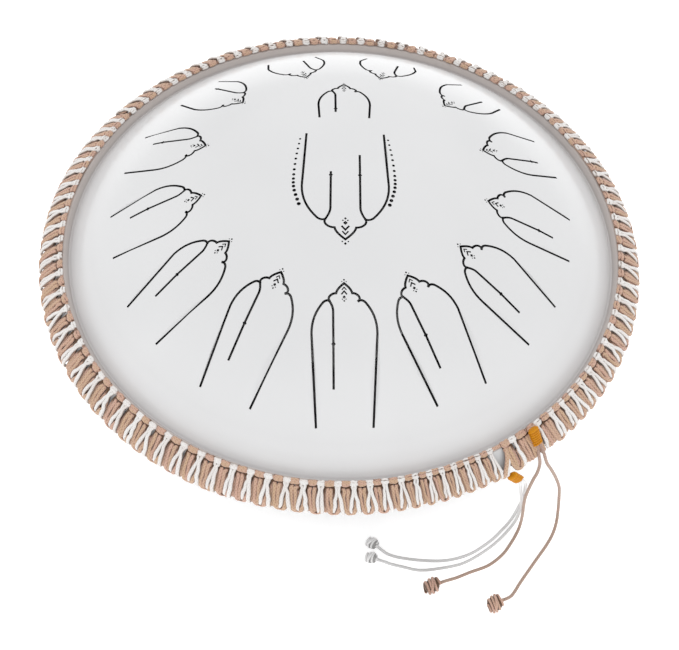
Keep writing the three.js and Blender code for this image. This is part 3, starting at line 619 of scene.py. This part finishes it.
# Tongues: the tip's curves at scale 1, as distance behind the tip and distance from the tongue's axis;
# tip, length and slit go from the lowest tongue to the highest
tongues = dict(
    slitWidth=1.3, outer=13, tip=(73.0, 93.4), tipPhase=math.radians(4.6), rootHalfWidth=15.6,
    tipEase=0.85, tipSpread=math.radians(1), ringY=-0.9,
    length=(68.5, 33.0), slit=(52.0, 27.5), tilt=math.radians(1.1),
    centre=dict(scale=1.38, length=76.4, halfWidth=22.6, left=45.3, right=58.2), centreTip=(0.6, -48.4),
    rear=dict(scale=0.86, length=34.8, halfWidth=14.7, left=29.6), rearTip=(0.2, 78.2),
    ogee=[(0, 0), (3.3, 4.2), (5.4, 4.35)],
    scallop=[(5.4, 4.35), (5.3, 7), (7.6, 9.4), (9.4, 8.1)],
    crest=[(9.4, 8.1), (8.6, 9.6), (10, 11.4)],
    shoulder=[(10, 11.4), (14.5, 15.6), (19.5, 17.9), (26, 17.9)],
    slitBend=[(9.4, 8.1), (12.3, 6.2), (14.5, 6.1)],
    steps=dict(ogee=5, scallop=8, crest=4, shoulder=8, slitBend=5),
    bead=(31.4, 6.0), beadHalf=(1.5, 1.25), knob=(9.5, 7.8, 0.95),
)
# Small cut marks at each tip: diamonds as place and half size, chevrons as apex, arm and stroke
marks = dict(
    diamonds=[(-1.9, 0, 0.62), (-0.95, -1.2, 0.4), (-0.95, 1.2, 0.4), (7.5, 0, 0.95),
              (8.65, -1.0, 0.42), (8.65, 1.0, 0.42), (9.55, 0, 0.58)],
    chevrons=[(2.2, 1.25, 1.05, 0.62), (4.3, 1.5, 1.3, 0.78)],
    dotPath=[(25.6, 24), (27.6, 10), (28.8, -4), (28.6, -14), (25.6, -25)], dotCount=15, dotHalf=(0.7, 1.2),
    dotSides=8,
)


def bezier(points, steps):  # Bernstein sum over the control points
    points = np.array(points, float)
    order = len(points) - 1
    t = np.linspace(0, 1, steps + 1)[:, None]
    weights = [math.comb(order, i) * t**i * (1 - t) ** (order - i) for i in range(order + 1)]
    return sum(w * p for w, p in zip(weights, points))


def shiftLine(line, distance):  # sideways by the distance, with mitred corners
    along = unit(np.diff(line, axis=0))
    across = np.stack([along[:, 1], -along[:, 0]], 1)
    before = np.concatenate([across[:1], across])
    after = np.concatenate([across, across[-1:]])
    mitre = (before + after) / (1 + (before * after).sum(1, keepdims=True))
    return line + mitre * distance


def ribbon(line, width):  # outline of a slit along a line, with ends half a width beyond it
    tips = line[[0, -1]] + unit(line[[0, -1]] - line[[1, -2]]) * width / 2
    line = np.concatenate([tips[:1], line[1:-1], tips[1:]])
    return np.concatenate([shiftLine(line, width / 2), shiftLine(line, -width / 2)[::-1]])


def diamond(d, w, halfLong, halfWide):  # four corners, half a length and half a width from the middle
    return np.array([[d - halfLong, w], [d, w + halfWide], [d + halfLong, w], [d, w - halfWide]])


def tipCurve(name):  # one of the tip's curves at scale 1
    return bezier(tongues[name], tongues["steps"][name])


def tongueCuts(scale, length, halfWidth, left=None, right=None):
    # slits and marks of one tongue in its own frame: arch over the tip, two flanks, inner slits with beads
    width = tongues["slitWidth"]
    flip = np.array([1, -1])
    arch = np.concatenate([tipCurve("ogee"), tipCurve("scallop")[1:]]) * scale
    arch = np.concatenate([(arch * flip)[:0:-1], arch])
    flank = np.concatenate([tipCurve("crest"), tipCurve("shoulder")[1:]]) * scale
    flank = np.concatenate([flank, [[length, halfWidth]]])
    cuts = [ribbon(line, width) for line in (arch, flank, flank * flip)]
    bead = np.array(tongues["bead"]) * scale
    for sign, end in ((-1, left), (1, right)):
        if end is None:
            d, w, half = tongues["knob"]
            cuts.append(diamond(d * scale, sign * w * scale, half * scale, half * scale))
            continue
        slit = np.concatenate([tipCurve("slitBend") * scale, [[end, bead[1]]]])
        cuts.append(ribbon(slit * (1, sign), width))
        if end > bead[0] + tongues["beadHalf"][0]:
            cuts.append(diamond(bead[0], sign * bead[1], *tongues["beadHalf"]))
    for d, w, half in marks["diamonds"]:
        cuts.append(diamond(d * scale, w * scale, half * scale, half * scale))
    for apex, armLong, armWide, stroke in marks["chevrons"]:
        arm = np.array([[apex + armLong, -armWide], [apex, 0], [apex + armLong, armWide]]) * scale
        cuts.append(ribbon(arm, stroke * scale))
    return cuts


def placeCuts(cuts, tipPoint, angle, mirror=1):  # from a tongue's frame to the drum's plan
    along = np.array([math.cos(angle), math.sin(angle)])
    right = np.array([-along[1], along[0]]) * mirror
    return [np.asarray(tipPoint) + cut[:, :1] * along + cut[:, 1:] * right for cut in cuts]


def allCuts():
    # thirteen tongues round the dome, lower and longer to the front, the large one in the middle,
    # the small one behind it, and two rows of dots
    cuts = []
    outer = tongues["outer"]
    pitch = fullTurn / outer
    for k in range(outer):
        even = k * pitch - math.pi / 2
        back = (1 - math.cos(k * pitch + tongues["tipPhase"])) / 2
        angle = even - tongues["tipSpread"] * back * math.sin(2 * even)
        tipRadius = between(tongues["tip"], back ** tongues["tipEase"])
        rank = 2 * k if k <= outer / 2 else 2 * (outer - k) - 1
        share = rank / (outer - 1)
        tongue = tongueCuts(1, between(tongues["length"], share), tongues["rootHalfWidth"],
                            between(tongues["slit"], share))
        tipPoint = (tipRadius * math.cos(angle), tipRadius * math.sin(angle) + tongues["ringY"])
        cuts += placeCuts(tongue, tipPoint, angle + tongues["tilt"])
    cuts += placeCuts(tongueCuts(**tongues["centre"]), tongues["centreTip"], math.pi / 2, -1)
    cuts += placeCuts(tongueCuts(**tongues["rear"]), tongues["rearTip"], -math.pi / 2)
    count = marks["dotCount"]
    row = splineWeights(len(marks["dotPath"]), count) @ np.array(marks["dotPath"])
    dot = circle(np.linspace(0, fullTurn, marks["dotSides"], endpoint=False))
    for (x, y), half in zip(row, np.linspace(*marks["dotHalf"], count)):
        cuts += [dot * half + (x, y), dot * half + (-x, y)]
    return cuts


def ccw(outline):  # turned anticlockwise by the sign of its area
    x, y = outline.T
    area = (x * np.roll(y, -1) - y * np.roll(x, -1)).sum()
    return outline if area > 0 else outline[::-1]


upper = dict(joinRadius=160.0, facets=288, grid=5.0, rowShare=0.87, joinClear=3.0, clear=1.6, batches=20,
             merge=1e-5, same=1e-6, atJoin=1e-3, footSteps=4, grooveBend=2.0, ridgeBend=1.1, bendSteps=7,
             softCosine=0.5)


def roundedLine(corners, bends, steps):  # each inner corner becomes a quadratic curve from a bend before it
    corners = np.array(corners, float)
    parts = [corners[:1]]
    for before, corner, after, bend in zip(corners, corners[1:], corners[2:], bends):
        arms = [corner + unit(other - corner) * bend for other in (before, after)]
        parts.append(bezier([arms[0], corner, arms[1]], steps))
    parts.append(corners[-1:])
    return np.concatenate(parts)


def domePlan():
    # the disc inside the join, triangulated round the outlines of the cuts and over a grid between them
    join, facets, step = upper["joinRadius"], upper["facets"], upper["grid"]
    edge = circle(np.arange(facets) / facets * fullTurn) * join
    outlines = [ccw(cut) for cut in allCuts()]
    cutPlaces = np.concatenate(outlines)
    sizes = [facets] + [len(outline) for outline in outlines]
    firsts = np.cumsum([0] + sizes)[:-1]
    faces = [list(range(first, first + size)) for first, size in zip(firsts, sizes)]
    gx, gy = np.meshgrid(np.arange(-join, join, step), np.arange(-join, join, step * upper["rowShare"]))
    gx = gx + np.where(np.arange(len(gx)) % 2, step / 2, 0)[:, None]
    grid = np.stack([gx.ravel(), gy.ravel()], 1)
    grid = grid[np.hypot(*grid.T) < join - upper["joinClear"]]
    dense = np.concatenate([cutPlaces, (cutPlaces + np.roll(cutPlaces, -1, 0)) / 2])
    far = np.concatenate([np.sqrt(((part[:, None] - dense) ** 2).sum(-1)).min(1) > upper["clear"]
                          for part in np.array_split(grid, upper["batches"])])
    places = np.concatenate([edge, cutPlaces, grid[far]])
    plan, _, triangles, _, _, sources = delaunay_2d_cdt(
        [tuple(place) for place in places.tolist()], [], faces, 0, upper["merge"])
    plan = np.array([tuple(place) for place in plan])
    triangles = np.array(triangles)[[bool(source) and max(source) == 0 for source in sources]]
    used = np.unique(triangles)
    renumber = np.full(len(plan), -1)
    renumber[used] = np.arange(len(used))
    return plan[used], renumber[triangles]


def makeUpperShell():
    # the plan of the dome is lifted to the outside and the inside of the sheet; walls join the two along
    # every cut, and the rim is a profile carried round on the same angles
    join = upper["joinRadius"]
    plan, triangles = domePlan()
    count = len(plan)
    radius = np.hypot(*plan.T)
    slope = domeSlope(radius)
    outer = np.column_stack([plan, domeHeight(radius)])
    inner = np.column_stack([plan, domeHeight(radius) - drum["sheet"] * np.sqrt(1 + slope**2)])
    lean = slope / np.maximum(radius, upper["same"])
    domeNormal = unit(np.column_stack([plan * lean[:, None], np.ones(count)]))
    # border edges are those that one triangle has and no other has the other way round
    edges = np.concatenate([triangles[:, [0, 1]], triangles[:, [1, 2]], triangles[:, [2, 0]]])
    key = edges[:, 0] * count + edges[:, 1]
    border = edges[~np.isin(key, edges[:, 1] * count + edges[:, 0])]
    atJoin = np.abs(radius[border] - join).max(1) < upper["atJoin"]
    cut = border[~atJoin]
    walls = np.stack([cut[:, 1], cut[:, 0], cut[:, 0] + count, cut[:, 1] + count], 1)
    across = plan[cut[:, 1]] - plan[cut[:, 0]]
    wallNormal = unit(np.column_stack([across[:, 1], -across[:, 0], np.zeros(len(cut))]))
    ring = border[atJoin][:, 0]
    ring = ring[np.argsort(np.arctan2(plan[ring, 1], plan[ring, 0]) % fullTurn)]
    # rim: dome foot, groove, ridge and skirt outside, then back at one sheet's distance
    reach = drum["mouthRadius"] - upper["grooveBend"]
    foot = np.array([[r, domeHeight(r)] for r in np.linspace(join, reach, upper["footSteps"])])
    outside = np.concatenate([foot[:-1], roundedLine(
        [foot[-1], (drum["mouthRadius"], drum["grooveZ"]), (drum["ridgeInner"], drum["ridgeZ"]),
         (drum["ridgeOuter"], drum["ridgeZ"]), (drum["lipRadius"], drum["lipZ"])],
        [upper["grooveBend"], upper["ridgeBend"], upper["ridgeBend"]], upper["bendSteps"])])
    steps = np.linalg.norm(np.diff(outside, axis=0), axis=1)
    outside = outside[np.concatenate([[True], steps > upper["same"]])]
    inside = shiftLine(outside, drum["sheet"])[::-1]
    inside[-1] = (join, domeHeight(join) - drum["sheet"] * math.sqrt(1 + domeSlope(join) ** 2))
    profile = np.concatenate([outside, inside])
    turns = np.arctan2(plan[ring, 1], plan[ring, 0])
    sweep = around(turns[:, None], profile[1:-1, 0], profile[1:-1, 1])
    columns = len(profile) - 2
    index = 2 * count + np.arange(len(ring) * columns).reshape(len(ring), columns)
    index = np.concatenate([ring[:, None], index, ring[:, None] + count], 1)
    following = np.roll(index, -1, 0)
    rimFaces = np.stack([index[:, :-1], index[:, 1:], following[:, 1:], following[:, :-1]], -1).reshape(-1, 4)
    # normals of the rim's spans, shared where two spans meet softly
    spans = unit(np.diff(profile, axis=0))
    spanNormal = np.stack([-spans[:, 1], spans[:, 0]], 1)
    soft = ((spanNormal[:-1] * spanNormal[1:]).sum(1) > upper["softCosine"])[:, None]
    meet = spanNormal[:-1] + spanNormal[1:]
    atStart = unit(np.concatenate([spanNormal[:1], np.where(soft, meet, spanNormal[1:])]))
    atEnd = unit(np.concatenate([np.where(soft, meet, spanNormal[:-1]), spanNormal[-1:]]))
    turned = np.roll(turns, -1)
    rimNormal = np.stack([around(a[:, None], n[:, 0], n[:, 1]) for a, n in
                          ((turns, atStart), (turns, atEnd), (turned, atEnd), (turned, atStart))], -2)
    blocks = [triangles, triangles[:, ::-1] + count, walls, rimFaces]
    normals = [domeNormal[triangles], -domeNormal[triangles[:, ::-1]],
               np.repeat(wallNormal[:, None], 4, 1), rimNormal]
    # the inside faces, the walls of the cuts and the rim's inside take the near-black painted shade
    back = np.tile(np.arange(len(profile) - 1) >= len(outside), len(ring))
    finishOf = np.concatenate([np.zeros(len(triangles)), np.ones(len(triangles) + len(walls)), back])
    makePiece("dome_with_tongues", np.concatenate([outer, inner, sweep.reshape(-1, 3)]), blocks,
              [domePaint, steelInPaintedShade], "upper_shell", normals=normals, finishOf=finishOf)


makeUpperShell()

# Lower shell and what it stands on
bowl = dict(portRadius=45.0, lipRise=4.0, lipBend=2.5, flangeWidth=10.0, flangeBend=2.5, rings=26, facets=192,
            bendSteps=6, sharp=math.radians(40))
feet = dict(count=4, circle=72.0, topRadius=10.0, bottomRadius=8.0, edge=1.2, seat=0.3, facets=48,
            bendSteps=6, bendTo=0.1, wall=(0.2, 0.97, 8), top=(1, 0.97, 0.6), pin=0.02,
            sharp=math.radians(50))


def wrappedQuads(facets, count):  # quads between count points on each of the facets, both closed round
    i, j = np.meshgrid(np.arange(facets), np.arange(count), indexing="ij")
    near, after, k = i * count, (i + 1) % facets * count, (j + 1) % count
    return np.stack([near + j, near + k, after + k, after + j], -1).reshape(-1, 4)


def revolve(profile, facets):
    # a closed profile carried round the axis; the first point follows the last
    angles = np.arange(facets) / facets * fullTurn
    points = around(angles[:, None], profile[:, 0], profile[:, 1]).reshape(-1, 3)
    return points, wrappedQuads(facets, len(profile))


def makeLowerShell():
    # the port's turned-in lip, the bowl's curve and the flange outside, and the same line one sheet inside
    port, mouth = bowl["portRadius"], drum["mouthRadius"]
    lipZ = bowlHeight(port) + bowl["lipBend"]
    flangeZ = drum["bowlCrownZ"] + drum["bowlDepth"]
    wall = np.linspace(port + bowl["lipBend"], mouth - bowl["flangeBend"], bowl["rings"])
    wallLine = np.stack([wall, bowlHeight(wall)], 1)
    lip = bezier([(port, lipZ), (port, bowlHeight(port)), wallLine[0]], bowl["bendSteps"])
    bend = bezier([wallLine[-1], (mouth, flangeZ), (mouth + bowl["flangeBend"], flangeZ)], bowl["bendSteps"])
    outside = np.concatenate([[(port, lipZ + bowl["lipRise"])], lip, wallLine[1:-1], bend,
                              [(mouth + bowl["flangeWidth"], flangeZ)]])
    profile = np.concatenate([outside, shiftLine(outside, -drum["sheet"])[::-1]])
    points, quads = revolve(profile, bowl["facets"])
    piece = makePiece("bowl_with_port", points, [quads], [whitePaint], "lower_shell")
    piece.data.set_sharp_from_angle(angle=bowl["sharp"])


def makeFeet():
    # a cone with a rounded lower edge whose top follows the bowl at the seating gap; heights are shares of it
    radii = (feet["bottomRadius"], feet["topRadius"])
    low, high, facets = *radii, feet["facets"]
    corner = bezier([(low - feet["edge"], 0), (low, 0), (between(radii, feet["bendTo"]), feet["bendTo"])],
                    feet["bendSteps"])
    wall = np.array([[between(radii, share), share] for share in np.linspace(*feet["wall"])])
    top = [[high * share, 1.0] for share in feet["top"]] + [[feet["pin"], 1.0]]
    profile = np.concatenate([[(feet["pin"], 0)], corner, wall, top])
    stride = len(profile)
    ring = np.arange(facets) * stride
    for number in range(feet["count"]):
        points, quads = revolve(profile, facets)
        quads = quads.reshape(facets, -1, 4)[:, :-1].reshape(-1, 4)
        angle = (number + 0.5) / feet["count"] * fullTurn
        points[:, :2] += np.array([math.cos(angle), math.sin(angle)]) * feet["circle"]
        points[:, 2] *= bowlHeight(np.hypot(*points[:, :2].T)) - feet["seat"]
        blocks = [quads, ring[None, ::-1], ring[None] + stride - 1]
        piece = makePiece(f"rubber_foot_{number + 1}", points, blocks, [blackRubber],
                          f"foot_{number + 1}")
        piece.data.set_sharp_from_angle(angle=feet["sharp"])


makeLowerShell()
makeFeet()
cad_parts["flange_seal"].data.materials.clear()
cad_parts["flange_seal"].data.materials.append(blackRubber)
print("shells, seal and feet made")

# Lacing: number and azimuth in degrees of some of the beige stitches; the last pair only ends the last pitch
lacing = dict(
    anchors=[
        (0, -48.2), (4, -35.8), (10, -13.0), (13, 0.2), (16, 12.3), (20, 28.7), (23, 39.0), (26, 49.1),
        (30, 64.6), (34, 83.3), (37, 96.1), (40, 108.0), (44, 124.8), (49, 145.3), (54, 161.3), (56, 168.4),
        (59, 179.8), (62, 192.7), (64, 202.0), (69, 223.7), (75, 245.1), (81, 264.8), (84, 273.7),
        (87, 282.3), (93, 297.1), (94, 301.9), (95, 305.2), (96, 308.2), (97, 311.8)],
    seed=7, sides=8, unitWidth=9.6, fitRange=(0.8, 1.08), placeStray=math.radians(0.12),
    bareAfter=93, barePitch=math.radians(2.5), noWhiteAfter=95, whipped=96, backFrom=25, backTo=155,
    beside=(2.2, 4.1), besideHeight=-0.1, wideHeight=-0.05, sunkHeight=-0.35,
    fillerShare=0.52, fillerHeight=0.25, whiteSpread=(0.35, 1.0), whiteSize=0.85, whiteBarSize=0.84,
    # random shifts of a row's first four values, the least tone, and where a diving strand turns to painted
    # shade
    jitter=(0.014, 0.13, 0.1, 0.07), tone=(0.3, 1.0), creaseShadeFrom=0.65, creaseShadeOver=0.6,
    # the rim's section: how the lip is rounded, and where the core's side of it starts
    lipHalf=1.3, lipShift=(0.5, -0.45), coreFrom=math.radians(260), coreSteps=60, lipSteps=12,
    # how far the stitches have slid outwards over the rim, as azimuth in degrees and mm
    slide=[
        (-60, 0.3), (-30, 0.2), (90, 0), (200, 0.3), (225, 0.7), (245, 1.1), (262, 1.0), (280, 0.5),
        (300, 0.3)],
    # how far the outer halves of the stitches stand off, as azimuth in degrees and mm
    swell=[(125, 0), (156, 0.7), (206, 1.0), (225, 1.2), (246, 1.1), (262, 0)], swellFrom=8, swellOver=8,
    # strands as rows of: share of the pitch, mm along the rim, mm round the rim's section, height, width
    # and thickness; a bar has the rows of its first half, up to the middle
    bars=[
        [(0, -2.5, -0.35, -0.3, 1.2, 1.2), (0, -2.2, -0.35, 0.25, 1.6, 1.4),
         (0, -1.1, -0.35, 0.55, 1.7, 1.5), (0, 0, -0.35, 0.6, 1.7, 1.5)],
        [(0, -2.6, 0.4, -0.3, 1.2, 1.2), (0, -2.25, 0.45, 0.35, 1.8, 1.4), (0, -1.1, 0.5, 0.7, 1.9, 1.5),
         (0, 0, 0.55, 0.75, 1.9, 1.5)],
        [(0, -2.5, 1.0, -0.3, 1.3, 1.2), (0, -2.2, 1.1, 0.35, 1.8, 1.4), (0, -1.1, 1.3, 0.7, 1.9, 1.5),
         (0, 0, 1.4, 0.75, 1.9, 1.6)]],
    backBar=[
        (0, -2.3, -0.95, -0.4, 1.2, 1.2), (0, -2.0, -0.95, 0.3, 1.7, 1.4), (0, -1.0, -0.95, 0.6, 1.8, 1.5),
        (0, 0, -0.95, 0.7, 1.8, 1.5)],
    # the beige legs begin with the same rows on both sides
    legTop=[
        (0, 1.35, 2.1, -0.6, 2.3, 1.4), (0, 1.3, 3.0, -0.15, 2.5, 1.6), (0, 1.2, 3.8, 0.5, 2.5, 2.0),
        (0, 1.1, 5.0, 1.0, 2.4, 2.0), (0.02, 1.1, 8, 1.1, 2.3, 2.1)],
    legLeft=[
        (0.06, -1.1, 11.5, 1.15, 2.3, 2.1), (0.1, -0.9, 14, 1.25, 2.3, 2.1),
        (0.16, -0.5, 15.6, 1.35, 2.3, 2.1), (0.26, 0, 16.3, 1.4, 2.3, 2.1), (0.4, 0, 16.4, 1.4, 2.4, 2.1),
        (0.52, 0, 15.7, 1.3, 2.5, 2.0), (0.6, 0, 13.8, 1.1, 2.6, 2.0), (0.62, 0, 11.2, 0.9, 2.6, 1.9),
        (0.58, 0, 8.5, 0.6, 2.4, 1.8), (0.5, 0, 6, 0.2, 2.0, 1.5)],
    legRight=[
        (0.06, 1.1, 11.5, 1.1, 2.3, 2.1), (0.09, 0.9, 14, 0.95, 2.2, 2.1), (0.12, 0.8, 15.6, 0.8, 2.0, 2.0),
        (0.14, 0.8, 17, 0.6, 2.0, 1.8), (0.16, 0.8, 19, 0.6, 2.0, 1.8)],
    # the legs under them have the same rows but for the share of the pitch
    # lying low, the legs under them are dark with painted shade and fill the gaps between stitches
    underShares=[(-0.26, -0.25, -0.22, -0.18, -0.15, -0.14), (0.26, 0.26, 0.28, 0.3, 0.32, 0.33)],
    underLeg=[
        (0, 1.8, -0.1, 1.8, 1.2), (0, 4, 0, 2.6, 1.2), (0, 8, 0.4, 3.2, 1.4), (0, 12, 0.55, 3.4, 1.4),
        (0, 15.2, 0.55, 3.0, 1.4), (0, 16.6, 0.4, 2.4, 1.3)],
    whiteLegs=[
        [(0, -1.2, 1.6, 0.1, 2.0, 1.5), (0, -1.1, 2.4, 0.6, 2.1, 1.8), (0, -0.8, 3.6, 1.1, 2.0, 1.9),
         (0, -0.7, 5, 1.5, 2.0, 1.9), (-0.01, -0.8, 7, 1.8, 2.3, 2.0), (-0.05, -0.85, 9.6, 2.0, 2.6, 2.0),
         (-0.1, -0.75, 12.2, 1.9, 2.7, 2.0), (-0.135, -0.5, 14.2, 1.6, 2.4, 1.9),
         (-0.15, -0.3, 15.5, 1.0, 1.9, 1.7), (-0.155, -0.2, 16.2, 0.1, 1.4, 1.5)],
        [(0, 1.2, 1.6, 0.1, 2.0, 1.5), (0, 1.1, 2.4, 0.6, 2.1, 1.8), (0, 0.8, 3.6, 1.2, 2.0, 1.9),
         (0.01, 0.7, 5, 1.7, 2.0, 1.9), (0.05, 0.75, 7, 2.1, 2.3, 2.0), (0.13, 0.75, 9.6, 2.4, 2.6, 2.0),
         (0.22, 0.6, 12.2, 2.4, 2.8, 2.0), (0.29, 0.4, 14.2, 2.1, 2.7, 2.0),
         (0.335, 0.2, 15.6, 1.6, 2.5, 2.0), (0.355, 0, 16.8, 0.9, 2.2, 1.9),
         (0.36, 0, 18, 0.4, 2.0, 1.8)]],
    beigeStray=[
        (0, -0.2, 2.1, -0.5, 2.2, 1.4), (0, -0.8, 3.6, 0.8, 2.4, 1.9), (0, -2.6, 8, 1.6, 2.6, 2.0),
        (0, -4.6, 12.5, 1.8, 2.8, 2.1), (0, -6.2, 15.8, 1.8, 2.8, 2.1), (0, -7.1, 17.8, 1.4, 2.6, 2.0),
        (0, -7.5, 19.2, 0.6, 2.2, 1.8)],
    whiteStray=[
        (0, -5.0, 6, 0.4, 1.8, 1.6), (0, -6.6, 10, 1.3, 2.2, 1.9), (0, -8.3, 13.4, 1.7, 2.4, 1.9),
        (0, -9.8, 16.4, 1.7, 2.4, 1.9), (0, -10.6, 18.6, 0.8, 2.1, 1.8)],
)
cores = dict(facets=360, sides=10, upperHalf=1.08, slideOut=0.9, slideDown=0.2, tone=(0.25, 0.2, 17))


def rimSection():
    # over the upper core, along the common tangent down the skirt, round the lip and under the lower core:
    # a table of length (from the core's top), radius, height and normal
    steps, down = lacing["coreSteps"], -math.pi / 2
    core = np.array([drum["coreRadius"], drum["coreZ"]])
    coreHalf, lipHalf = drum["coreThick"] / 2, lacing["lipHalf"]
    lip = np.array([drum["lipRadius"], drum["lipZ"]]) + lacing["lipShift"]
    gap = lip - core
    tangent = math.atan2(gap[1], gap[0]) + math.acos((coreHalf - lipHalf) / np.hypot(*gap))
    over = np.linspace(lacing["coreFrom"], tangent, steps)
    below = np.linspace(tangent, down, lacing["lipSteps"])
    underRadii = (drum["lowerCoreRadius"], drum["mouthRadius"])
    under = [(radius, drum["lowerCoreZ"] - coreHalf) for radius in underRadii]
    line = np.concatenate([core + circle(over) * coreHalf, lip + circle(below) * lipHalf, under])
    facing = np.concatenate([over, below, [down] * 2])
    run = lengthsAlong(line)
    run -= np.interp(down, -facing[:steps], run[:steps])
    return run, line, facing


section = rimSection()


def lacedStrands(rows, angles, pitches, random, fit, spread):
    # spline through the rows for every stitch at once, laid on the rim's section at its height above it;
    # where a strand dives under the others its tone falls to the painted shade of a crease
    rows = np.array(rows, float)
    weights = splineWeights(len(rows), 2 * len(rows) + 1)
    jitter = random.normal(size=(4, len(angles), len(rows))) * np.array(lacing["jitter"])[:, None, None]
    azimuth = np.degrees(angles)
    share = (rows[:, 0] * spread[:, None] + jitter[0]) @ weights.T
    along = (rows[:, 1] * fit[:, None] + jitter[1]) @ weights.T
    down = (rows[:, 2] + readTable(lacing["slide"], azimuth)[:, None] + jitter[2]) @ weights.T
    height = (rows[:, 3] + jitter[3]) @ weights.T
    width = (rows[:, 4] * fit[:, None]) @ weights.T
    outer = np.clip((down - lacing["swellFrom"]) / lacing["swellOver"], 0, 1)
    stand = height + readTable(lacing["swell"], azimuth)[:, None] * outer
    run, line, facing = section
    face = np.interp(down, run, facing)
    radius = np.interp(down, run, line[:, 0]) + np.cos(face) * stand
    z = np.interp(down, run, line[:, 1]) + np.sin(face) * stand
    turn = angles[:, None] + share * pitches[:, None] + along / drum["lipRadius"]
    outward = around(turn, np.cos(face), np.sin(face))
    tone = between(lacing["tone"], random.random(len(angles)))[:, None]
    # painted shade: the lower the strand, the nearer its tone to the deep colour
    tone = tone * (1 - np.clip((lacing["creaseShadeFrom"] - height) / lacing["creaseShadeOver"], 0, 1))
    tubes = strandTubes(around(turn, radius, z), outward, width, weights @ rows[:, 5], lacing["sides"])
    return tubes, paintedEdgeShade(tone, lacing["sides"])


def otherSide(rows):  # the same rows on the other side of the stitch's middle
    return np.array(rows, float) * (1, -1, 1, 1, 1, 1)


def wholeBar(half):  # the rows of a bar's first half, and then back on the other side
    return np.concatenate([half, otherSide(half)[-2::-1]])


def moved(rows, share=0, along=0, height=0):  # the same rows shifted
    return np.array(rows, float) + (share, along, 0, height, 0, 0)


def makeLacing():
    # beige stitches at their azimuths and white ones half a pitch on, but for the bare place and the whipping
    random = np.random.default_rng(lacing["seed"])
    count = lacing["anchors"][-1][0]
    places = np.radians(readTable(lacing["anchors"], np.arange(count + 1)))
    pitches = np.diff(places)
    pitches[lacing["bareAfter"]] = lacing["barePitch"]
    places = places[:-1] + random.normal(size=count) * lacing["placeStray"]
    spread = between(lacing["whiteSpread"], random.random(count))
    fit = np.clip(pitches * drum["lipRadius"] / lacing["unitWidth"], *lacing["fitRange"])
    # which stitches have which strands
    units = np.arange(count)
    everywhere = units >= 0
    laid = units != lacing["whipped"]
    white = units != lacing["noWhiteAfter"]
    looped = laid & white
    single = laid & ~looped
    first = units == lacing["bareAfter"] + 1
    atBack = (np.degrees(places) > lacing["backFrom"]) & (np.degrees(places) < lacing["backTo"])
    bars = [wholeBar(half) for half in lacing["bars"]]
    backBar = wholeBar(lacing["backBar"])
    left = np.concatenate([otherSide(lacing["legTop"]), lacing["legLeft"]])
    right = np.concatenate([lacing["legTop"], lacing["legRight"]])
    underLeft, underRight = [np.column_stack([row, lacing["underLeg"]]) for row in lacing["underShares"]]
    beside = [moved(right, along=shift, height=lacing["besideHeight"]) for shift in lacing["beside"]]
    wide = [moved(bar, along=lacing["beside"][0], height=lacing["wideHeight"]) for bar in bars]
    sunk = [moved(rows, height=lacing["sunkHeight"]) for rows in (right, otherSide(right))]
    filler = [moved(rows, share=lacing["fillerShare"], height=lacing["fillerHeight"]) for rows in sunk]
    beigeSets = [(bar, everywhere, 1) for bar in bars]
    beigeSets += [(underLeft, laid & ~first, 1), (underRight, looped & (units != lacing["bareAfter"]), 1),
                  (left, looped, 1), (right, laid, 1), (otherSide(right), single, 1),
                  (lacing["beigeStray"], first, 1)]
    beigeSets += [(rows, single, 1) for rows in beside + wide] + [(rows, ~laid, 1) for rows in sunk + filler]
    beigeSets.append((backBar, atBack, 1))
    whiteLeft, whiteRight = lacing["whiteLegs"]
    barSize, legSize = lacing["whiteBarSize"], lacing["whiteSize"]
    whiteSets = [(bar, white, barSize) for bar in bars] + [(backBar, atBack, barSize)]
    whiteSets += [(whiteLeft, white & ~first, legSize), (whiteRight, looped, legSize),
                  (lacing["whiteStray"], first, 1)]
    for colour, finish, angles, opened, sets in (
            ("beige", beigeCord, places, np.ones(count), beigeSets),
            ("white", whiteCord, places + pitches / 2, spread, whiteSets)):
        strands = [lacedStrands(rows, angles[use], pitches[use], random, fit[use] * size, opened[use])
                   for rows, use, size in sets]
        points, faces, uv = joinTubes([tubes for tubes, tone in strands])
        makePiece(colour + "_lacing_cord", points, faces, [finish], colour + "_lacing", uv,
                  tone=np.concatenate([tone for tubes, tone in strands]))


def makeCore(name, radius, height, half, node, slides):
    # a circle carried round the drum, slid out like the stitches, with its map running once round
    facets, sides = cores["facets"], cores["sides"]
    turn = np.linspace(0, fullTurn, facets + 1)
    girth = np.linspace(0, fullTurn, sides + 1)[:-1]
    first = lacing["slide"][0][0]
    slid = slides * readTable(lacing["slide"], (np.degrees(turn[:-1, None]) - first) % 360 + first)
    ring, level = radius + cores["slideOut"] * slid, height - cores["slideDown"] * slid
    points = around(turn[:-1, None], ring + np.cos(girth) * half, level + np.sin(girth) * half).reshape(-1, 3)
    quads = wrappedQuads(facets, sides)[:, [0, 3, 2, 1]]  # facing out
    run, j = turn[:, None] * radius, np.arange(sides)
    uv = quadMap(run[:-1], run[1:], j / sides, (j + 1) / sides)
    tone = np.repeat(ripple(turn[:-1], *cores["tone"]), sides)
    makePiece(name, points, [quads], [beigeCord], node, [uv], tone=tone)


makeLacing()
makeCore("rim_core_cord", drum["coreRadius"], drum["coreZ"], cores["upperHalf"], "upper_core_cord", 1)
makeCore("under_core_cord", drum["lowerCoreRadius"], drum["lowerCoreZ"], drum["coreThick"] / 2,
         "lower_core_cord", 0)
print("lacing made")
